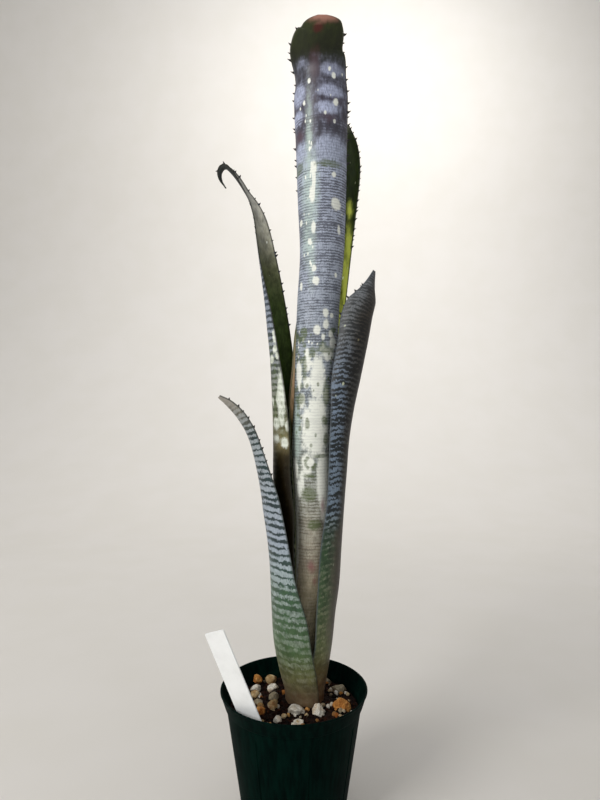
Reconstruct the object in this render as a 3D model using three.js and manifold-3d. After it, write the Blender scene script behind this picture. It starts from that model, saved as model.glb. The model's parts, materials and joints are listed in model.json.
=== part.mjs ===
// A pipeline billbergia in its nursery pot: five tubular leaves, stones on the mix and a plant label.
// Millimetres, +Z up. The origin is the middle of the pot's foot, and the viewer stands at -Y.
import * as THREE from "three";
import { mergeVertices } from "three/addons/utils/BufferGeometryUtils.js";
import Module from "manifold-3d";

const wasm = await Module();
wasm.setup();

// Driving dimensions of the pot.
const POT_HEIGHT = 92;
const RIM_RADIUS = 52.3;
const FOOT_RADIUS = 35.9;
const BODY_TOP_RADIUS = 47.9;
const COLLAR_HEIGHT = 11;
const COLLAR_STEP = 1.0;
const LIP_HEIGHT = 0.8;
const FOOT_BEVEL = 1.6;
const POT_WALL = 1.2;
const POT_FLOOR = 1.6;
const POT_SIDES = 48;
const SLIT_COUNT = 8;
const SLIT_BEARING = -31;
const SLIT_WIDTH = 2.4;
const SLIT_TOP = 20;
const SLIT_INWARD = 3.5;
const GROOVE_WIDTH = 1.6;
const GROOVE_DEPTH = 0.5;
const GROOVE_BOTTOM = 24;
const GROOVE_TOP = 75;

// Driving dimensions of what stands in it.
const SEAT_GAP = 0.3;
const MIX_LEVEL = 78.5;
const MIX_MOUND = 3.6;
const MIX_ROUGHNESS = 0.7;
const PLANT_X = 8.6;
const PLANT_Y = 8;
const LEAF_THICKNESS = 1.0;
const LEAF_COLUMNS = 12;
const LABEL_WIDTH = 16;
const LABEL_LENGTH = 92;
const LABEL_THICKNESS = 0.8;

// Outer radius and lowest level of each leaf's sheath, from the outermost inwards.
const SHEATHS = {
  leaf_low_left: { radius: 15.3, foot: 66 },
  leaf_right: { radius: 13.5, foot: 69 },
  leaf_hooked_left: { radius: 11.7, foot: 72 },
  leaf_back: { radius: 9.8, foot: 75 },
  leaf_front_tall: { radius: 7.9, foot: 78 },
};
const STEM_TOP = 84;
const STEM_FOOT = 50;
const STEM_CLEARANCE = 0.7;

// A small repeatable random number generator, from 0 up to 1.
function makeRandom(seed) {
  let state = seed >>> 0;
  return () => {
    state = (state + 0x6d2b79f5) >>> 0;
    let mixed = Math.imul(state ^ (state >>> 15), state | 1);
    mixed ^= mixed + Math.imul(mixed ^ (mixed >>> 7), mixed | 61);
    return ((mixed ^ (mixed >>> 14)) >>> 0) / 4294967296;
  };
}

// Solids: a closed geometry becomes a manifold, and a manifold becomes a geometry again.
function toSolid(geometry) {
  const bare = geometry.clone();
  bare.deleteAttribute("normal");
  bare.deleteAttribute("uv");
  const merged = mergeVertices(bare, 1e-4);
  const mesh = new wasm.Mesh({
    numProp: 3,
    vertProperties: Float32Array.from(merged.attributes.position.array),
    triVerts: Uint32Array.from(merged.index.array),
  });
  return new wasm.Manifold(mesh);
}

function toGeometry(solid) {
  const mesh = solid.getMesh();
  const geometry = new THREE.BufferGeometry();
  geometry.setAttribute("position", new THREE.BufferAttribute(Float32Array.from(mesh.vertProperties), 3));
  geometry.setIndex(new THREE.BufferAttribute(Uint32Array.from(mesh.triVerts), 1));
  geometry.computeVertexNormals();
  return geometry;
}

// The largest body of a solid, which leaves out loose scraps of a cut.
function largestBody(solid) {
  const bodies = solid.decompose();
  return bodies.reduce((best, body) => (body.volume() > best.volume() ? body : best));
}

function indexedGeometry(points, triangles) {
  const geometry = new THREE.BufferGeometry();
  geometry.setAttribute("position", new THREE.Float32BufferAttribute(points.flat(), 3));
  geometry.setIndex(triangles.flat());
  return geometry;
}

// A lathe about the Z axis from a profile of [radius, height] pairs, listed upwards on the outside.
function latheZ(profile, sides) {
  const points = profile.map(([radius, height]) => new THREE.Vector2(radius, height));
  return new THREE.LatheGeometry(points, sides).rotateX(Math.PI / 2);
}

function materialOf(colour, roughness) {
  return new THREE.MeshStandardMaterial({ color: colour, roughness, metalness: 0, flatShading: true });
}

const plant = new THREE.Group();

function addMesh(name, geometry, material) {
  const mesh = new THREE.Mesh(geometry, material);
  mesh.name = name;
  plant.add(mesh);
  return mesh;
}

// Pot

const COLLAR_FOOT = POT_HEIGHT - COLLAR_HEIGHT;
const INSIDE_FOOT = 2.2;
const INSIDE_TOP = COLLAR_FOOT - 0.4;

// The outside runs up the tapered body, steps out to the flared collar and ends in a thin lip.
function potOutside() {
  return [
    [FOOT_RADIUS - FOOT_BEVEL, 0],
    [FOOT_RADIUS, FOOT_BEVEL],
    [BODY_TOP_RADIUS, COLLAR_FOOT],
    [BODY_TOP_RADIUS + COLLAR_STEP, COLLAR_FOOT + 0.6],
    [RIM_RADIUS - 0.4, POT_HEIGHT - LIP_HEIGHT - 0.4],
    [RIM_RADIUS, POT_HEIGHT - LIP_HEIGHT],
    [RIM_RADIUS, POT_HEIGHT],
  ];
}

function potInside() {
  return [
    [RIM_RADIUS - POT_WALL, POT_HEIGHT],
    [BODY_TOP_RADIUS + COLLAR_STEP - POT_WALL, COLLAR_FOOT + 1.4],
    [BODY_TOP_RADIUS - POT_WALL, INSIDE_TOP],
    [FOOT_RADIUS - POT_WALL, INSIDE_FOOT],
    [FOOT_RADIUS - 2.0, POT_FLOOR],
  ];
}

function potSolid() {
  const profile = [[0, 0], ...potOutside(), ...potInside(), [0, POT_FLOOR]];
  let pot = toSolid(latheZ(profile, POT_SIDES));
  for (let i = 0; i < SLIT_COUNT; i += 1) {
    const bearing = THREE.MathUtils.degToRad(SLIT_BEARING + (360 / SLIT_COUNT) * i);
    pot = pot.subtract(slitCutter(bearing)).subtract(grooveCutter(bearing));
  }
  return pot;
}

// The radius of the body's outside at a height.
function bodyRadius(height) {
  const share = (height - FOOT_BEVEL) / (COLLAR_FOOT - FOOT_BEVEL);
  return THREE.MathUtils.lerp(FOOT_RADIUS, BODY_TOP_RADIUS, share);
}

// A drainage slit, from the underside of the foot up the wall.
function slitCutter(bearing) {
  const [reach, below] = [14, 4];
  const slit = new THREE.BoxGeometry(SLIT_WIDTH, reach, SLIT_TOP + below);
  slit.translate(0, -(FOOT_RADIUS - SLIT_INWARD + reach / 2), (SLIT_TOP - below) / 2);
  return toSolid(slit.rotateZ(bearing));
}

// A shallow moulded groove up the outside, parallel to the tapered wall.
function grooveCutter(bearing) {
  const length = GROOVE_TOP - GROOVE_BOTTOM;
  const middle = (GROOVE_TOP + GROOVE_BOTTOM) / 2;
  const depth = 6;
  const slope = Math.atan2(BODY_TOP_RADIUS - FOOT_RADIUS, COLLAR_FOOT - FOOT_BEVEL);
  const groove = new THREE.BoxGeometry(GROOVE_WIDTH, depth, length);
  groove.translate(0, -depth / 2, 0);
  groove.rotateX(slope);
  groove.translate(0, -(bodyRadius(middle) - GROOVE_DEPTH), middle);
  return toSolid(groove.rotateZ(bearing));
}

// Leaves

// A ring station gives a leaf's cross-section as an arc of a level circle: its height, the circle's
// centre and radius, the bearing that the back of the leaf faces (0 is the viewer, 90 is +X), and how
// many degrees the arc wraps to either side of the midrib.
function ring(height, x, y, radius, facing, wrap, free = 0) {
  const bearing = THREE.MathUtils.degToRad(facing);
  return {
    x: x + radius * Math.sin(bearing),
    y: y - radius * Math.cos(bearing),
    z: height,
    facing,
    radius,
    half: radius * THREE.MathUtils.degToRad(wrap),
    free,
  };
}

// A blade station gives the midrib's own place, with the arc's radius and the half width round it.
function blade(x, y, z, radius, facing, half) {
  return { x, y, z, facing, radius, half, free: 1 };
}

function sheath(name, height, facing, wrap) {
  return ring(height, PLANT_X, PLANT_Y, SHEATHS[name].radius, facing, wrap);
}

const STATIONS = {
  leaf_front_tall: [
    sheath("leaf_front_tall", SHEATHS.leaf_front_tall.foot, 0, 150),
    ring(100, 8.4, 8, 8.8, 0, 150),
    ring(122, 8.2, 8, 9.8, 0, 145),
    ring(150, 10, 8, 11.2, -4, 142),
    ring(190, 13.2, 8, 12.6, -8, 138),
    ring(227, 13.8, 8, 13.8, -10, 132),
    ring(261, 12.8, 8, 14.6, -12, 126),
    ring(297, 15, 8, 15.1, -12, 118),
    ring(335, 16.4, 8, 15.3, -12, 108),
    ring(368, 17.8, 8, 15.5, -12, 100),
    ring(403, 20.3, 8, 16.1, -12, 96),
    ring(440, 20.3, 7.5, 17.6, -12, 90),
    ring(475, 20.3, 7, 18.8, -12, 82),
    ring(511, 20.1, 6.5, 20.2, -12, 77, 0.3),
    ring(529, 19.8, 6, 19.5, -11, 73, 0.5),
    blade(16.6, -17.5, 538, 30, 2, 20),
    blade(19.2, -24, 545.4, 34, 2, 15.8),
    blade(19.2, -29.5, 553.4, 38, 3, 11),
  ],
  leaf_back: [
    sheath("leaf_back", SHEATHS.leaf_back.foot, 180, 150),
    ring(100, 8.4, 8, 10.8, 180, 150),
    ring(122, 8.2, 8, 12.2, 180, 145),
    ring(150, 9.6, 8, 13.6, 180, 140),
    ring(190, 12.6, 8.4, 15, 180, 130),
    ring(227, 13.4, 8.8, 15.8, 180, 120),
    ring(261, 12.8, 9, 16.8, 180, 115),
    ring(294, 13.6, 9, 18, 180, 110),
    ring(318, 15.6, 9, 17.4, 180, 105),
    ring(335, 16.8, 9.3, 17.5, 175, 95),
    ring(351, 18.3, 9.8, 17.8, 170, 85),
    ring(368, 20, 10.3, 18, 165, 78),
    ring(403, 23.6, 11.5, 18.4, 160, 72),
    ring(440, 27.6, 12.5, 18.8, 156, 68),
    ring(466, 30, 13.3, 18.8, 154, 66, 0.2),
    ring(485, 29.4, 15.5, 17.5, 154, 63, 0.5),
    blade(33, 34, 497, 15, 155, 15),
    blade(30, 44, 503.5, 13, 158, 9),
    blade(26.5, 53, 503, 9, 160, 1.5),
  ],
  leaf_hooked_left: [
    sheath("leaf_hooked_left", SHEATHS.leaf_hooked_left.foot, -110, 150),
    sheath("leaf_hooked_left", 86, -110, 150),
    ring(100, 8.4, 8, 13, -112, 134),
    ring(122, 7.9, 8, 15.6, -114, 116),
    ring(143, 7.6, 8, 17.4, -116, 102),
    ring(168, 7.6, 8.2, 19.4, -112, 90),
    ring(195, 5.5, 8.6, 18.4, -106, 88),
    ring(216, 3, 9, 17, -101, 91),
    ring(240, -0.4, 9.5, 15, -98, 90),
    ring(262, -0.9, 10, 14.5, -96, 88),
    ring(283, -1.7, 10.3, 14, -99, 89),
    ring(300, -2.9, 10.6, 13.5, -103, 89),
    ring(326, -5.2, 11, 12.5, -113, 89),
    ring(350, -8.5, 11, 11.5, -119, 87),
    ring(371, -11.6, 11, 10.5, -125, 81),
    ring(403, -17.3, 11, 9, -140, 66),
    ring(427, -22, 11, 7.5, -150, 50, 0.4),
    ring(440, -26.5, 11.5, 6, -145, 43, 0.7),
    blade(-36.5, 16.5, 450.5, 4, -128, 3.8),
    blade(-44, 15.5, 461, 4, -114, 4.8),
    blade(-50.5, 15, 467.3, 4, -108, 5),
    blade(-53.6, 15, 464.6, 3.5, -106, 4.2),
    blade(-53.2, 15, 459, 3.2, -104, 3),
    blade(-50.2, 15, 453.6, 3, -102, 1),
  ],
  leaf_right: [
    sheath("leaf_right", SHEATHS.leaf_right.foot, 95, 115),
    sheath("leaf_right", 85, 95, 110),
    ring(100, 8.4, 8, 16.2, 95, 95),
    ring(121, 8.2, 8, 19.6, 90, 72),
    ring(143, 8.6, 8, 21.5, 86, 67),
    ring(165, 10, 8, 23, 82, 65),
    ring(194, 13.8, 8, 21, 78, 64),
    ring(222, 18.7, 8, 18, 76, 62),
    ring(245, 22.4, 7, 16, 72, 65),
    ring(268, 25.1, 6, 15, 66, 66),
    ring(290, 28.9, 5, 14.5, 58, 70),
    ring(312, 34, 4, 14, 47, 80),
    ring(338, 39.2, 3, 14, 42, 80),
    ring(356, 42.2, 3, 14.2, 40, 79, 0.5),
    blade(54.6, -7.5, 367, 13.5, 44, 15.5),
    blade(56, -4.6, 377.5, 8, 50, 7.4),
    blade(57.6, -2, 388.5, 5, 56, 1.6),
  ],
  leaf_low_left: [
    sheath("leaf_low_left", SHEATHS.leaf_low_left.foot, -78, 115),
    sheath("leaf_low_left", 85, -76, 112),
    ring(100, 8.1, 8, 18.6, -75, 101),
    ring(121, 7.5, 8, 22.2, -75, 88),
    ring(143, 7.4, 8, 23.7, -75, 79),
    ring(168, 7.4, 8, 24.7, -75, 61.5),
    ring(185, 7.2, 8, 25.6, -74, 53.5),
    ring(200, 5.5, 7.5, 25.6, -73, 50),
    ring(216, 1.6, 6.5, 24, -71, 48),
    ring(229, -2, 6, 22, -70, 46.5),
    ring(245, -7.5, 4.5, 19.2, -68, 41, 0.3),
    ring(262, -14.3, 3, 16.2, -66, 36.5, 0.7),
    blade(-33.5, -4.2, 274, 14, -64, 9.6),
    blade(-40, -5, 284.5, 12, -62, 9.2),
    blade(-47, -5.6, 292.5, 9, -58, 7),
    blade(-53.4, -6, 298.5, 5, -52, 2.8),
  ],
};

// Each leaf's colour, its rows, the shares of its length between which its teeth grow, their spacing,
// and the angle in degrees by which they stand off its surface.
const LEAVES = {
  leaf_front_tall: { colour: 0x8f9086, rows: 27, teeth: [0.68, 0.98], spacing: 11, lift: 60, seed: 11 },
  leaf_back: { colour: 0x3d4a31, rows: 26, teeth: [0.69, 0.97], spacing: 8, lift: 50, seed: 23 },
  leaf_hooked_left: { colour: 0x4f5a44, rows: 32, teeth: [0.6, 0.93], spacing: 10, lift: 10, seed: 37 },
  leaf_right: { colour: 0x55605f, rows: 24, teeth: [0.6, 0.97], spacing: 9, lift: 10, seed: 41 },
  leaf_low_left: { colour: 0x5b6a55, rows: 24, teeth: [0.7, 0.97], spacing: 8, lift: 10, seed: 53 },
};

// Uniform Catmull-Rom interpolation between stations, with the ends carried on in a straight line.
const FIELDS = ["x", "y", "z", "facing", "radius", "half", "free"];

function stationAt(stations, place) {
  const last = stations.length - 1;
  const index = Math.min(Math.floor(place), last - 1);
  const t = place - index;
  const field = (i, name) => {
    if (i < 0) return 2 * stations[0][name] - stations[1][name];
    if (i > last) return 2 * stations[last][name] - stations[last - 1][name];
    return stations[i][name];
  };
  const value = {};
  const slope = {};
  for (const name of FIELDS) {
    const [a, b, c, d] = [-1, 0, 1, 2].map((step) => field(index + step, name));
    const linear = c - a;
    const square = 2 * a - 5 * b + 4 * c - d;
    const cube = -a + 3 * b - 3 * c + d;
    value[name] = 0.5 * (2 * b + linear * t + square * t * t + cube * t * t * t);
    slope[name] = 0.5 * (linear + 2 * square * t + 3 * cube * t * t);
  }
  return { value, slope };
}

// The leaf's frame at a place along it: the midrib's point and the directions up the leaf, across it
// to the right as its back is seen from outside, and out from its back.
function leafFrame(stations, place) {
  const { value, slope } = stationAt(stations, place);
  const bearing = THREE.MathUtils.degToRad(value.facing);
  const level = new THREE.Vector3(Math.cos(bearing), Math.sin(bearing), 0);
  const path = new THREE.Vector3(slope.x, slope.y, slope.z).normalize();
  const free = THREE.MathUtils.clamp(value.free, 0, 1);
  const up = new THREE.Vector3(0, 0, 1).lerp(path, free).normalize();
  const across = level.addScaledVector(up, -level.dot(up)).normalize();
  const out = new THREE.Vector3().crossVectors(across, up);
  const point = new THREE.Vector3(value.x, value.y, value.z);
  return { point, up, across, out, radius: value.radius, half: value.half };
}

// A point of the leaf at a share from -1 to 1 across it, with its outward normal and edge direction.
function leafPoint(frame, share) {
  const angle = (share * frame.half) / frame.radius;
  const point = frame.point.clone();
  point.addScaledVector(frame.out, -frame.radius * (1 - Math.cos(angle)));
  point.addScaledVector(frame.across, frame.radius * Math.sin(angle));
  const normal = frame.out.clone().multiplyScalar(Math.cos(angle));
  normal.addScaledVector(frame.across, Math.sin(angle));
  const edge = frame.across.clone().multiplyScalar(Math.cos(angle));
  edge.addScaledVector(frame.out, -Math.sin(angle));
  return { point, normal, edge };
}

function thicknessAt(share) {
  return LEAF_THICKNESS * (1 - 0.35 * share * share);
}

// The blade: a grid of points on its back and another on its face, closed round the four edges.
function bladeSolid(stations, rows) {
  const columns = LEAF_COLUMNS;
  const points = [];
  for (let side = 0; side < 2; side += 1) {
    for (let i = 0; i <= rows; i += 1) {
      const frame = leafFrame(stations, (i / rows) * (stations.length - 1));
      for (let j = 0; j <= columns; j += 1) {
        const share = (2 * j) / columns - 1;
        const { point, normal } = leafPoint(frame, share);
        points.push(point.addScaledVector(normal, -side * thicknessAt(share)).toArray());
      }
    }
  }
  const width = columns + 1;
  const back = (i, j) => i * width + j;
  const face = (i, j) => (rows + 1) * width + i * width + j;
  const triangles = [];
  const quad = (a, b, c, d) => triangles.push([a, b, c], [a, c, d]);
  for (let i = 0; i < rows; i += 1) {
    for (let j = 0; j < columns; j += 1) {
      quad(back(i, j), back(i, j + 1), back(i + 1, j + 1), back(i + 1, j));
      triangles.push([face(i, j), face(i + 1, j + 1), face(i, j + 1)]);
      triangles.push([face(i, j), face(i + 1, j), face(i + 1, j + 1)]);
    }
    quad(face(i, 0), back(i, 0), back(i + 1, 0), face(i + 1, 0));
    quad(back(i, columns), face(i, columns), face(i + 1, columns), back(i + 1, columns));
  }
  for (let j = 0; j < columns; j += 1) {
    quad(face(0, j), face(0, j + 1), back(0, j + 1), back(0, j));
    quad(back(rows, j), back(rows, j + 1), face(rows, j + 1), face(rows, j));
  }
  return toSolid(indexedGeometry(points, triangles));
}

const TOOTH_ROOT = 0.9;
const TOOTH_BASE = 2.2;
const TOOTH_DEPTH = 0.5;
const TOOTH_LENGTH = 1.9;
const TOOTH_RISE = 0.6;

// A point on the edge of the faceted blade, between two rows of its grid.
function edgePoint(stations, rows, place, side) {
  const last = stations.length - 1;
  const row = Math.min(Math.floor((place / last) * rows), rows - 1);
  const [low, high] = [row, row + 1].map((i) => leafFrame(stations, (i / rows) * last));
  const [below, above] = [leafPoint(low, side), leafPoint(high, side)];
  const share = (place / last) * rows - row;
  return {
    point: below.point.clone().lerp(above.point, share),
    normal: below.normal.lerp(above.normal, share).normalize(),
    out: below.edge.lerp(above.edge, share).normalize().multiplyScalar(side),
    along: above.point.clone().sub(below.point).normalize(),
  };
}

// A marginal tooth: a three-sided spine with its base sunk in the leaf's edge and its tip raised up
// the leaf and by an angle from the leaf's own surface.
function toothSolid({ point, normal, out, along }, side, size, lift) {
  const middle = point.clone().addScaledVector(normal, -thicknessAt(side) / 2);
  const corner = (lengthwise, through) => {
    const place = middle.clone().addScaledVector(out, -TOOTH_ROOT);
    place.addScaledVector(along, (lengthwise * TOOTH_BASE * size) / 2);
    return place.addScaledVector(normal, (through * TOOTH_DEPTH) / 2).toArray();
  };
  const tip = middle.clone().addScaledVector(out, TOOTH_LENGTH * size * Math.cos(lift));
  tip.addScaledVector(normal, TOOTH_LENGTH * size * Math.sin(lift));
  tip.addScaledVector(along, TOOTH_RISE * size);
  const points = [corner(-1, -1), corner(1, -1), corner(0, 1), tip.toArray()];
  const outward = [[0, 1, 2], [1, 0, 3], [2, 1, 3], [0, 2, 3]];
  const triangles = side < 0 ? outward : outward.map(([a, b, c]) => [a, c, b]);
  return toSolid(indexedGeometry(points, triangles));
}

// Teeth stand along both edges of the free part of a leaf, unevenly spaced as they grow.
function teethOf(stations, leaf) {
  const random = makeRandom(leaf.seed);
  const last = stations.length - 1;
  const lift = THREE.MathUtils.degToRad(leaf.lift);
  const [low, high] = leaf.teeth.map((share) => share * last);
  const teeth = [];
  for (const side of [-1, 1]) {
    let travelled = leaf.spacing * random();
    let previous = null;
    for (let place = low; place < high; place += 0.02) {
      const edge = edgePoint(stations, leaf.rows, place, side);
      if (previous) travelled += edge.point.distanceTo(previous);
      previous = edge.point;
      if (travelled < leaf.spacing) continue;
      teeth.push(toothSolid(edge, side, 0.8 + 0.4 * random(), lift));
      travelled = leaf.spacing * 0.7 * (random() - 0.5);
    }
  }
  return teeth;
}

// A blade with its teeth. What a tooth seals off inside the blade is filled.
function leafSolid(name) {
  const leaf = LEAVES[name];
  const stations = STATIONS[name];
  const teeth = teethOf(stations, leaf);
  const blade = bladeSolid(stations, leaf.rows);
  return largestBody(teeth.reduce((solid, tooth) => solid.add(tooth), blade));
}

// Stem and roots

// A short stem with a ledge under each sheath, the outermost lowest, and a domed growing point.
function stemProfile() {
  const rings = Object.values(SHEATHS);
  const profile = [[0, STEM_FOOT], [7, STEM_FOOT + 1], [12.5, STEM_FOOT + 6]];
  let width = rings[0].radius;
  for (const { radius, foot } of rings) {
    profile.push([width, foot - SEAT_GAP]);
    width = radius - LEAF_THICKNESS - STEM_CLEARANCE;
    profile.push([width, foot - SEAT_GAP]);
  }
  profile.push([5.6, STEM_TOP - 2], [3, STEM_TOP], [0, STEM_TOP + 0.6]);
  return profile;
}

const ROOT_COUNT = 6;
const ROOT_SIDES = 5;
const ROOT_STEPS = 5;
const ROOT_RADIUS = 1.3;
const ROOT_REACH = 16;
const ROOT_DEPTH = 24;

// A wiry root from the stem's foot outwards and down through the mix.
function rootGeometry(index, radius, length) {
  const random = makeRandom(71 + index);
  const bearing = ((index + 0.6 * random()) / ROOT_COUNT) * 2 * Math.PI;
  const reach = ROOT_REACH + 4 * random();
  const depth = ROOT_DEPTH + 8 * random();
  const place = (share) => {
    const out = 5 + reach * Math.pow(share, 0.7);
    const turn = bearing + 0.35 * Math.sin(3 * share);
    return new THREE.Vector3(
      PLANT_X + out * Math.sin(turn),
      PLANT_Y - out * Math.cos(turn),
      STEM_FOOT + 6 - depth * Math.pow(share, 1.3),
    );
  };
  const curve = new THREE.CatmullRomCurve3([0, 0.25, 0.5, 0.75, 1].map((share) => place(share * length)));
  const section = new THREE.Shape();
  for (let i = 0; i < ROOT_SIDES; i += 1) {
    const angle = (i / ROOT_SIDES) * 2 * Math.PI;
    const [x, y] = [radius * Math.cos(angle), radius * Math.sin(angle)];
    if (i === 0) section.moveTo(x, y);
    else section.lineTo(x, y);
  }
  return new THREE.ExtrudeGeometry(section, { steps: ROOT_STEPS, extrudePath: curve, curveSegments: 1 });
}

function rootSolids(radius, length) {
  return Array.from({ length: ROOT_COUNT }, (_, index) => toSolid(rootGeometry(index, radius, length)));
}

function stemSolid() {
  const body = toSolid(latheZ(stemProfile(), 24)).translate([PLANT_X, PLANT_Y, 0]);
  return rootSolids(ROOT_RADIUS, 1).reduce((solid, root) => solid.add(root), body);
}

// Stones

// Each stone lies half sunk in the mix: its place, its size along X, Y and Z, its turn, and its colour.
const STONES = {
  stone_white_front: { at: [0, -13.5, 81], size: [14, 9.5, 9], turn: 10, colour: 0xd9d6cc },
  stone_white_wedge: { at: [16.5, -13, 81], size: [12, 9, 11], turn: -20, colour: 0xd2cfc4 },
  stone_orange_right: { at: [33.5, -6, 80.5], size: [18, 11, 11], turn: -12, colour: 0xb08257 },
  stone_grey_right: { at: [33, 18, 80], size: [14, 11, 10], turn: 25, colour: 0x9a938a },
  stone_grey_back: { at: [25, 33, 79.5], size: [7.5, 7, 7], turn: 0, colour: 0x8b857d },
  stone_amber_left: { at: [-28.5, 32, 82], size: [8, 7.5, 7], turn: 30, colour: 0xb98b62 },
  stone_tan_left: { at: [-17.8, 33, 81.5], size: [10, 8.5, 9], turn: -15, colour: 0xb59f84 },
  stone_pale_left: { at: [-28.8, 21.8, 80], size: [10, 7.5, 7.5], turn: 8, colour: 0xb9b3a8 },
  stone_brown_left: { at: [-28.5, 11.5, 79.6], size: [8.5, 8, 8], turn: 40, colour: 0xa9835c },
  stone_white_left: { at: [-16.4, 20.8, 80.6], size: [12, 8, 7.5], turn: -8, colour: 0xcfcbc1 },
  stone_grey_left: { at: [-14.2, 7.2, 80.4], size: [10, 9, 8.5], turn: 15, colour: 0x8f8a82 },
  stone_ash_left: { at: [-26, 0.4, 79.4], size: [9, 7.5, 6.5], turn: -30, colour: 0xaaa59b },
  stone_rust_left: { at: [-23.5, -11, 79.4], size: [7.5, 7, 8], turn: 5, colour: 0xa4714a },
  stone_clay_left: { at: [-14.6, -5, 80.4], size: [9, 8, 8.5], turn: 50, colour: 0x8d6547 },
  stone_white_low: { at: [-11, -22.5, 79.6], size: [7.5, 6, 6], turn: -25, colour: 0xc9c5bb },
  stone_pale_front: { at: [3.5, -25.5, 79.4], size: [9.5, 7, 6.5], turn: 12, colour: 0xbab4a9 },
};

const STONE_FACETS = 5;
const STONE_ROUGHNESS = 0.2;
const STONE_FLATTENING = 0.85;

// A rough, faceted stone about its own centre, one unit across.
function stoneGeometry(seed) {
  const random = makeRandom(seed);
  const stone = mergeVertices(bareSphere(0.5, 1), 1e-4);
  const position = stone.attributes.position;
  const point = new THREE.Vector3();
  const facets = Array.from({ length: STONE_FACETS }, () => {
    const axis = new THREE.Vector3(random() - 0.5, random() - 0.5, random() - 0.5).normalize();
    return { axis, reach: 0.34 + 0.1 * random() };
  });
  for (let i = 0; i < position.count; i += 1) {
    point.fromBufferAttribute(position, i).multiplyScalar(0.9 + STONE_ROUGHNESS * random());
    for (const { axis, reach } of facets) {
      const over = point.dot(axis) - reach;
      if (over > 0) point.addScaledVector(axis, -STONE_FLATTENING * over);
    }
    position.setXYZ(i, point.x, point.y, point.z);
  }
  return stone;
}

function bareSphere(radius, detail) {
  const sphere = new THREE.IcosahedronGeometry(radius, detail);
  sphere.deleteAttribute("normal");
  sphere.deleteAttribute("uv");
  return sphere;
}

function placedStone(name, grow) {
  const { at, size, turn } = STONES[name];
  const stone = stoneGeometry(100 + Object.keys(STONES).indexOf(name));
  stone.scale(size[0] + grow, size[1] + grow, size[2] + grow);
  stone.rotateZ(THREE.MathUtils.degToRad(turn));
  return stone.translate(at[0], at[1], at[2]);
}

// Label

const LABEL_TIP = 14;
const LABEL_LEAN = 22.5;
const LABEL_ROLL = 26;
const LABEL_AT_RIM = new THREE.Vector3(-31, -33.4, POT_HEIGHT);
const LABEL_BELOW_RIM = 36;

// A flat strip with a pointed foot, rolled about its own length and leaning to the left by the rim.
function labelGeometry(grow) {
  const half = LABEL_WIDTH / 2 + grow;
  const foot = -LABEL_BELOW_RIM - grow;
  const head = LABEL_LENGTH - LABEL_BELOW_RIM + grow;
  const outline = new THREE.Shape();
  outline.moveTo(0, foot);
  outline.lineTo(half, foot + LABEL_TIP);
  outline.lineTo(half, head - 1);
  outline.lineTo(half - 1, head);
  outline.lineTo(1 - half, head);
  outline.lineTo(-half, head - 1);
  outline.lineTo(-half, foot + LABEL_TIP);
  const depth = LABEL_THICKNESS + 2 * grow;
  const label = new THREE.ExtrudeGeometry(outline, { depth, bevelEnabled: false });
  label.translate(0, 0, -depth / 2);
  label.rotateX(Math.PI / 2);
  label.rotateZ(-THREE.MathUtils.degToRad(LABEL_ROLL));
  label.rotateY(-THREE.MathUtils.degToRad(LABEL_LEAN));
  return label.translate(LABEL_AT_RIM.x, LABEL_AT_RIM.y, LABEL_AT_RIM.z);
}

// Potting mix

const MIX_SECTORS = 32;
const MIX_RINGS = 5;
const GRIT_COUNT = 60;
const GRIT_SPREAD = 43.5;
const MOUND_RADIUS = 42;
const POCKET_GAP = SEAT_GAP + 0.1;
const CHANNEL_GAP = SEAT_GAP + 0.15;
const CHANNEL_LENGTH = 1.03;

// The inside radius of the pot at a height, less the seat gap.
function mixRadius(height) {
  if (height > INSIDE_TOP) return BODY_TOP_RADIUS - POT_WALL - SEAT_GAP;
  const share = (height - INSIDE_FOOT) / (INSIDE_TOP - INSIDE_FOOT);
  const wall = THREE.MathUtils.lerp(FOOT_RADIUS, BODY_TOP_RADIUS, share) - POT_WALL;
  return wall * Math.cos(Math.PI / POT_SIDES) - SEAT_GAP;
}

// The height of the mix's surface: a low mound round the plant with a rough grain.
function mixHeight(x, y) {
  const away = Math.hypot(x - PLANT_X, y - PLANT_Y) / MOUND_RADIUS;
  const mound = MIX_MOUND * Math.max(0, 1 - away);
  const grain = Math.sin(0.9 * x + 1.3) * Math.cos(1.1 * y) + 0.6 * Math.sin(0.47 * x - 0.71 * y);
  return MIX_LEVEL - 0.8 + mound + MIX_ROUGHNESS * 0.6 * grain;
}

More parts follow.
